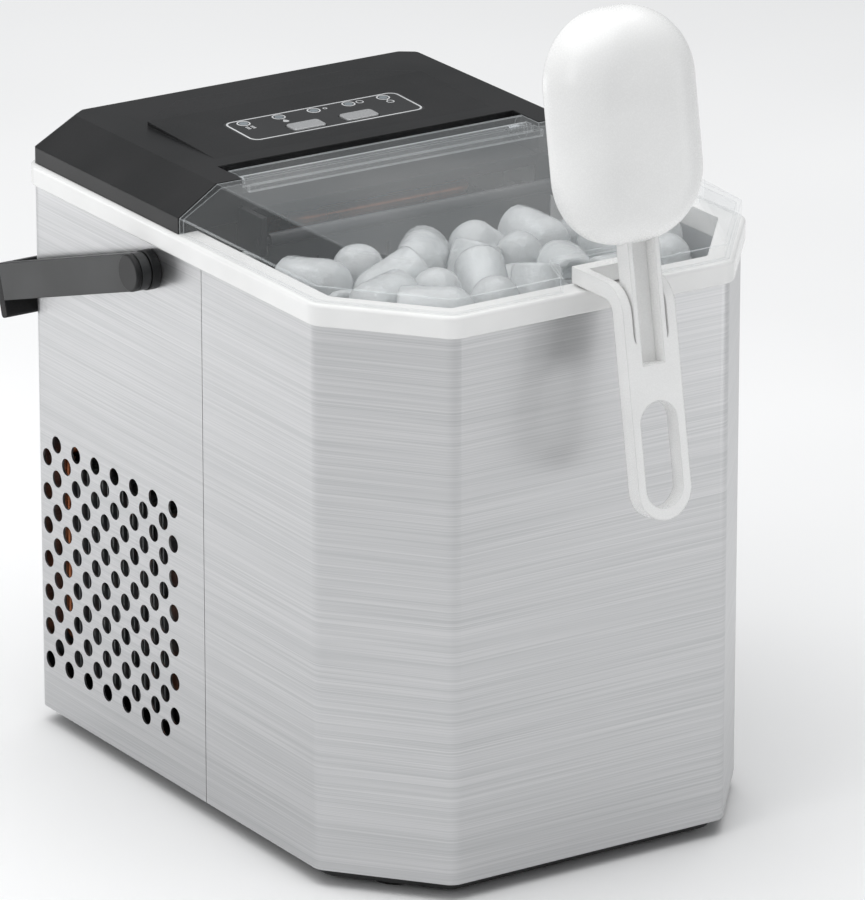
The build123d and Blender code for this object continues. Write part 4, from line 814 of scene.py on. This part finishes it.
def settle_bullets(count, radius, reach):
    """Drops count bullets, each as two balls reach apart, into the basket and lets them settle."""
    rng = np.random.default_rng(SETTLE_SEED)
    low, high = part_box("ice_basket")
    side = high.x - BASKET_LIP - BASKET_WALL - radius
    front = low.y + BASKET_LIP + BASKET_WALL + radius
    rear = CURTAIN_FRONT - radius
    floor = low.z + BASKET_WALL + radius
    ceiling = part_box("lid")[1].z - LID_ROOM - radius
    shell_low, shell_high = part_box("front_shell")
    corner = Vector((shell_high.x - CORNER_ACROSS, shell_low.y))
    centres = np.column_stack((
        rng.uniform(-side, side, count),
        rng.uniform(front + FRONT_ROOM, rear, count),
        floor + np.arange(count) / count * DROP_HEIGHT,
    ))
    heading = rng.normal(size=(count, 3))
    heading /= np.linalg.norm(heading, axis=1)[:, None]
    balls = np.stack((centres - heading * reach / 2, centres + heading * reach / 2), axis=1)
    owner = np.repeat(np.arange(count), 2)
    apart = owner[:, None] != owner[None, :]
    for step in range(SETTLE_STEPS):
        if step < FALLING_STEPS:
            balls[:, :, 2] -= FALL_STEP
        for _ in range(PUSHES_A_STEP):
            # balls of different bullets push each other apart
            flat = balls.reshape(-1, 3)
            gap = flat[:, None, :] - flat[None, :, :]
            distance = np.linalg.norm(gap, axis=2) + TINY
            touching = apart & (distance < 2 * radius)
            push = np.where(touching, (2 * radius - distance) / distance, 0)
            flat = flat + PUSH_SHARE * (push[:, :, None] * gap).sum(axis=1)
            balls = flat.reshape(-1, 2, 3)
            # the two balls of a bullet go back to their distance
            rod = balls[:, 1] - balls[:, 0]
            length = np.linalg.norm(rod, axis=1)[:, None] + TINY
            fix = rod * (length - reach) / length / 2
            balls[:, 0] += fix
            balls[:, 1] -= fix
            # the basket's walls and floor, and the ceiling that the lid leaves
            balls[:, :, 0] = balls[:, :, 0].clip(-side, side)
            balls[:, :, 1] = balls[:, :, 1].clip(front, rear)
            balls[:, :, 2] = balls[:, :, 2].clip(floor, ceiling)
            for sign in (-1, 1):
                across = (sign * balls[:, :, 0] - corner.x) * CORNER_NORMAL.x
                along = across - (balls[:, :, 1] - corner.y) * CORNER_NORMAL.y
                over = np.maximum(along + CORNER_INSET + radius, 0)
                balls[:, :, 0] -= sign * over * CORNER_NORMAL.x
                balls[:, :, 1] += over * CORNER_NORMAL.y
    return balls


def bullet_profile(radius, length):
    """Half section of a hollow-ended bullet, from the crown round the open end into the hollow."""
    points = []
    crown = length - radius
    for step in range(7):
        angle = math.radians(90 - 90 * step / 6)
        points.append((radius * math.cos(angle), crown + radius * math.sin(angle)))
    points += [(radius, crown * 0.5), (radius * 0.98, 1.6 * MM), (radius * 0.9, 0.2 * MM)]
    points += [(radius * 0.72, 0.0), (radius * 0.56, 1.0 * MM), (radius * 0.5, 8 * MM)]
    points += [(radius * 0.36, length * 0.5), (0.0, length * 0.6)]
    return points


BULLET_SECTORS = 20
BULLET_TRIM = 0.96              # drawn radius as a share of the settled balls' radius
LUMP_AROUND = 0.03
LUMP_ALONG = 0.02
LUMP_PER_MM = 0.4


def bullet_ring(work, place, radius, height, number):
    """One slightly lumpy ring of a bullet; a radius of 0 gives a single point."""
    if radius == 0:
        return [work.verts.new(place @ Vector((0, 0, height)))]
    ring = []
    for sector in range(BULLET_SECTORS):
        angle = math.tau * sector / BULLET_SECTORS
        around = LUMP_AROUND * math.sin(3 * angle + number)
        lengthwise = LUMP_ALONG * math.sin(height / MM * LUMP_PER_MM + number)
        lump = 1 + around + lengthwise
        bulge = radius * lump * BULLET_TRIM
        spot = Vector((bulge * math.cos(angle), bulge * math.sin(angle), height))
        ring.append(work.verts.new(place @ spot))
    return ring


def bridge(work, upper, lower):
    """Faces between two rings of a bullet, either of which may be a single point."""
    for i in range(BULLET_SECTORS):
        j = (i + 1) % BULLET_SECTORS
        corners = [
            upper[i % len(upper)], upper[j % len(upper)],
            lower[j % len(lower)], lower[i % len(lower)],
        ]
        work.faces.new(list(dict.fromkeys(corners)))


class ICEMAKER_OT_ice(bpy.types.Operator):
    """Hollow-ended ice bullets, settled in the basket"""

    bl_idname = "ice_maker.ice"
    bl_label = "Ice bullets"

    def execute(self, context):
        sizes = context.scene.ice_maker_sizes
        radius = sizes.bullet_radius
        length = sizes.bullet_length
        balls = settle_bullets(sizes.bullet_count, radius, length - 2 * radius)
        profile = bullet_profile(radius, length)

        def bullets(work):
            for number, (tail, head) in enumerate(balls):
                ends = (Vector(tail), Vector(head))
                if number % 2:
                    ends = ends[::-1]
                along = (ends[1] - ends[0]).normalized()
                turn = along.to_track_quat("Z", "Y").to_matrix().to_4x4()
                place = Matrix.Translation((ends[0] + ends[1]) / 2 - along * length / 2) @ turn
                rows = [bullet_ring(work, place, r, h, number) for r, h in profile]
                for upper, lower in zip(rows, rows[1:]):
                    bridge(work, upper, lower)

        ice = new_piece("ice_bullets", bullets, finish(bullet_ice))
        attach(ice, "basket")
        return {"FINISHED"}


# ---------------------------------------------------------------- stage
VIEW_AZIMUTH = math.radians(-32.846)
VIEW_ELEVATION = math.radians(19.473)
VIEW_DISTANCE = 3.7667
VIEW_TARGET = Vector((0.10356, 0.14244, 0.09012))
LENS_MM = 320
SENSOR_MM = 36
CLIP_END = 50
AIR_STRENGTH = 0.42


def aim(thing, target):
    """Turns a camera or lamp towards a point."""
    thing.rotation_euler = (target - thing.location).to_track_quat("-Z", "Y").to_euler()


def soft_box(name, place, target, width, height, power):
    """A rectangular studio lamp: places and sizes in metres, power in watts."""
    lamp = bpy.data.lights.new(name, "AREA")
    lamp.shape = "RECTANGLE"
    lamp.size = width
    lamp.size_y = height
    lamp.energy = power
    holder = bpy.data.objects.new(name, lamp)
    holder.location = place
    bpy.context.scene.collection.objects.link(holder)
    aim(holder, Vector(target))


class ICEMAKER_OT_stage(bpy.types.Operator):
    """Pale floor, soft lamps, pale surroundings and the camera"""

    bl_idname = "ice_maker.stage"
    bl_label = "Studio"

    def execute(self, context):
        scene = context.scene
        half = scene.ice_maker_sizes.floor_size / 2

        def plane(work):
            corners = [(-half, -half, 0), (half, -half, 0), (half, half, 0), (-half, half, 0)]
            work.faces.new([work.verts.new(c) for c in corners])

        floor = new_piece("studio_floor", plane, finish(studio_floor_paint), smooth=False)

        world = bpy.data.worlds.new("studio_air")
        world.use_nodes = True
        background = world.node_tree.nodes["Background"]
        background.inputs["Color"].default_value = rgba(linear("E6E8EA"))
        background.inputs["Strength"].default_value = AIR_STRENGTH
        scene.world = world
        scene.view_settings.view_transform = "Standard"

        soft_box("top_lamp", (-0.2, 0.2, 2.2), (0, 0.1, 0), 3.0, 3.0, 50)
        soft_box("key_lamp", (-1.5, -0.6, 1.0), (0, 0, 0.15), 0.8, 0.8, 3.5)
        soft_box("front_lamp", (0.5, -0.62, 0.2), (0.08, -0.14, 0.12), 0.3, 0.5, 0.45)
        soft_box("left_lamp", (-0.54, 0.67, 0.21), (-0.11, 0.0, 0.12), 0.3, 0.3, 0.7)

        camera = bpy.data.cameras.new("view_camera")
        camera.lens = LENS_MM
        camera.sensor_width = SENSOR_MM
        camera.clip_end = CLIP_END
        holder = bpy.data.objects.new("view_camera", camera)
        flat = math.cos(VIEW_ELEVATION)
        sideways = math.sin(VIEW_AZIMUTH) * flat
        forwards = -math.cos(VIEW_AZIMUTH) * flat
        back = Vector((sideways, forwards, math.sin(VIEW_ELEVATION)))
        holder.location = VIEW_TARGET + back * VIEW_DISTANCE
        scene.collection.objects.link(holder)
        aim(holder, VIEW_TARGET)
        scene.camera = holder
        return {"FINISHED"}


# ---------------------------------------------------------------- panel and registration
OPERATORS = [
    ICEMAKER_OT_stage,
    ICEMAKER_OT_housing,
    ICEMAKER_OT_controls,
    ICEMAKER_OT_lid,
    ICEMAKER_OT_handle,
    ICEMAKER_OT_wet_side,
    ICEMAKER_OT_cold_side,
    ICEMAKER_OT_keypad_print,
    ICEMAKER_OT_ice,
]


class ICEMAKER_PT_sidebar(bpy.types.Panel):
    """Lists the ice maker's pieces"""

    bl_idname = "ICEMAKER_PT_sidebar"
    bl_label = "Ice maker"
    bl_space_type = "VIEW_3D"
    bl_region_type = "UI"
    bl_category = "Ice maker"

    def draw(self, context):
        for operator in OPERATORS:
            self.layout.operator(operator.bl_idname)


CLASSES = [IceMakerSizes, IceMakerLook, *OPERATORS, ICEMAKER_PT_sidebar]


def register():
    """Adds the classes and the scene's user values."""
    for cls in CLASSES:
        bpy.utils.register_class(cls)
    bpy.types.Scene.ice_maker_sizes = bpy.props.PointerProperty(type=IceMakerSizes)
    bpy.types.Scene.ice_maker_look = bpy.props.PointerProperty(type=IceMakerLook)


def unregister():
    """Takes them away again."""
    del bpy.types.Scene.ice_maker_look
    del bpy.types.Scene.ice_maker_sizes
    for cls in reversed(CLASSES):
        bpy.utils.unregister_class(cls)


def main():
    """Builds everything."""
    register()
    for operator in OPERATORS:
        group, name = operator.bl_idname.split(".")
        getattr(getattr(bpy.ops, group), name)()


if __name__ == "__main__":
    main()
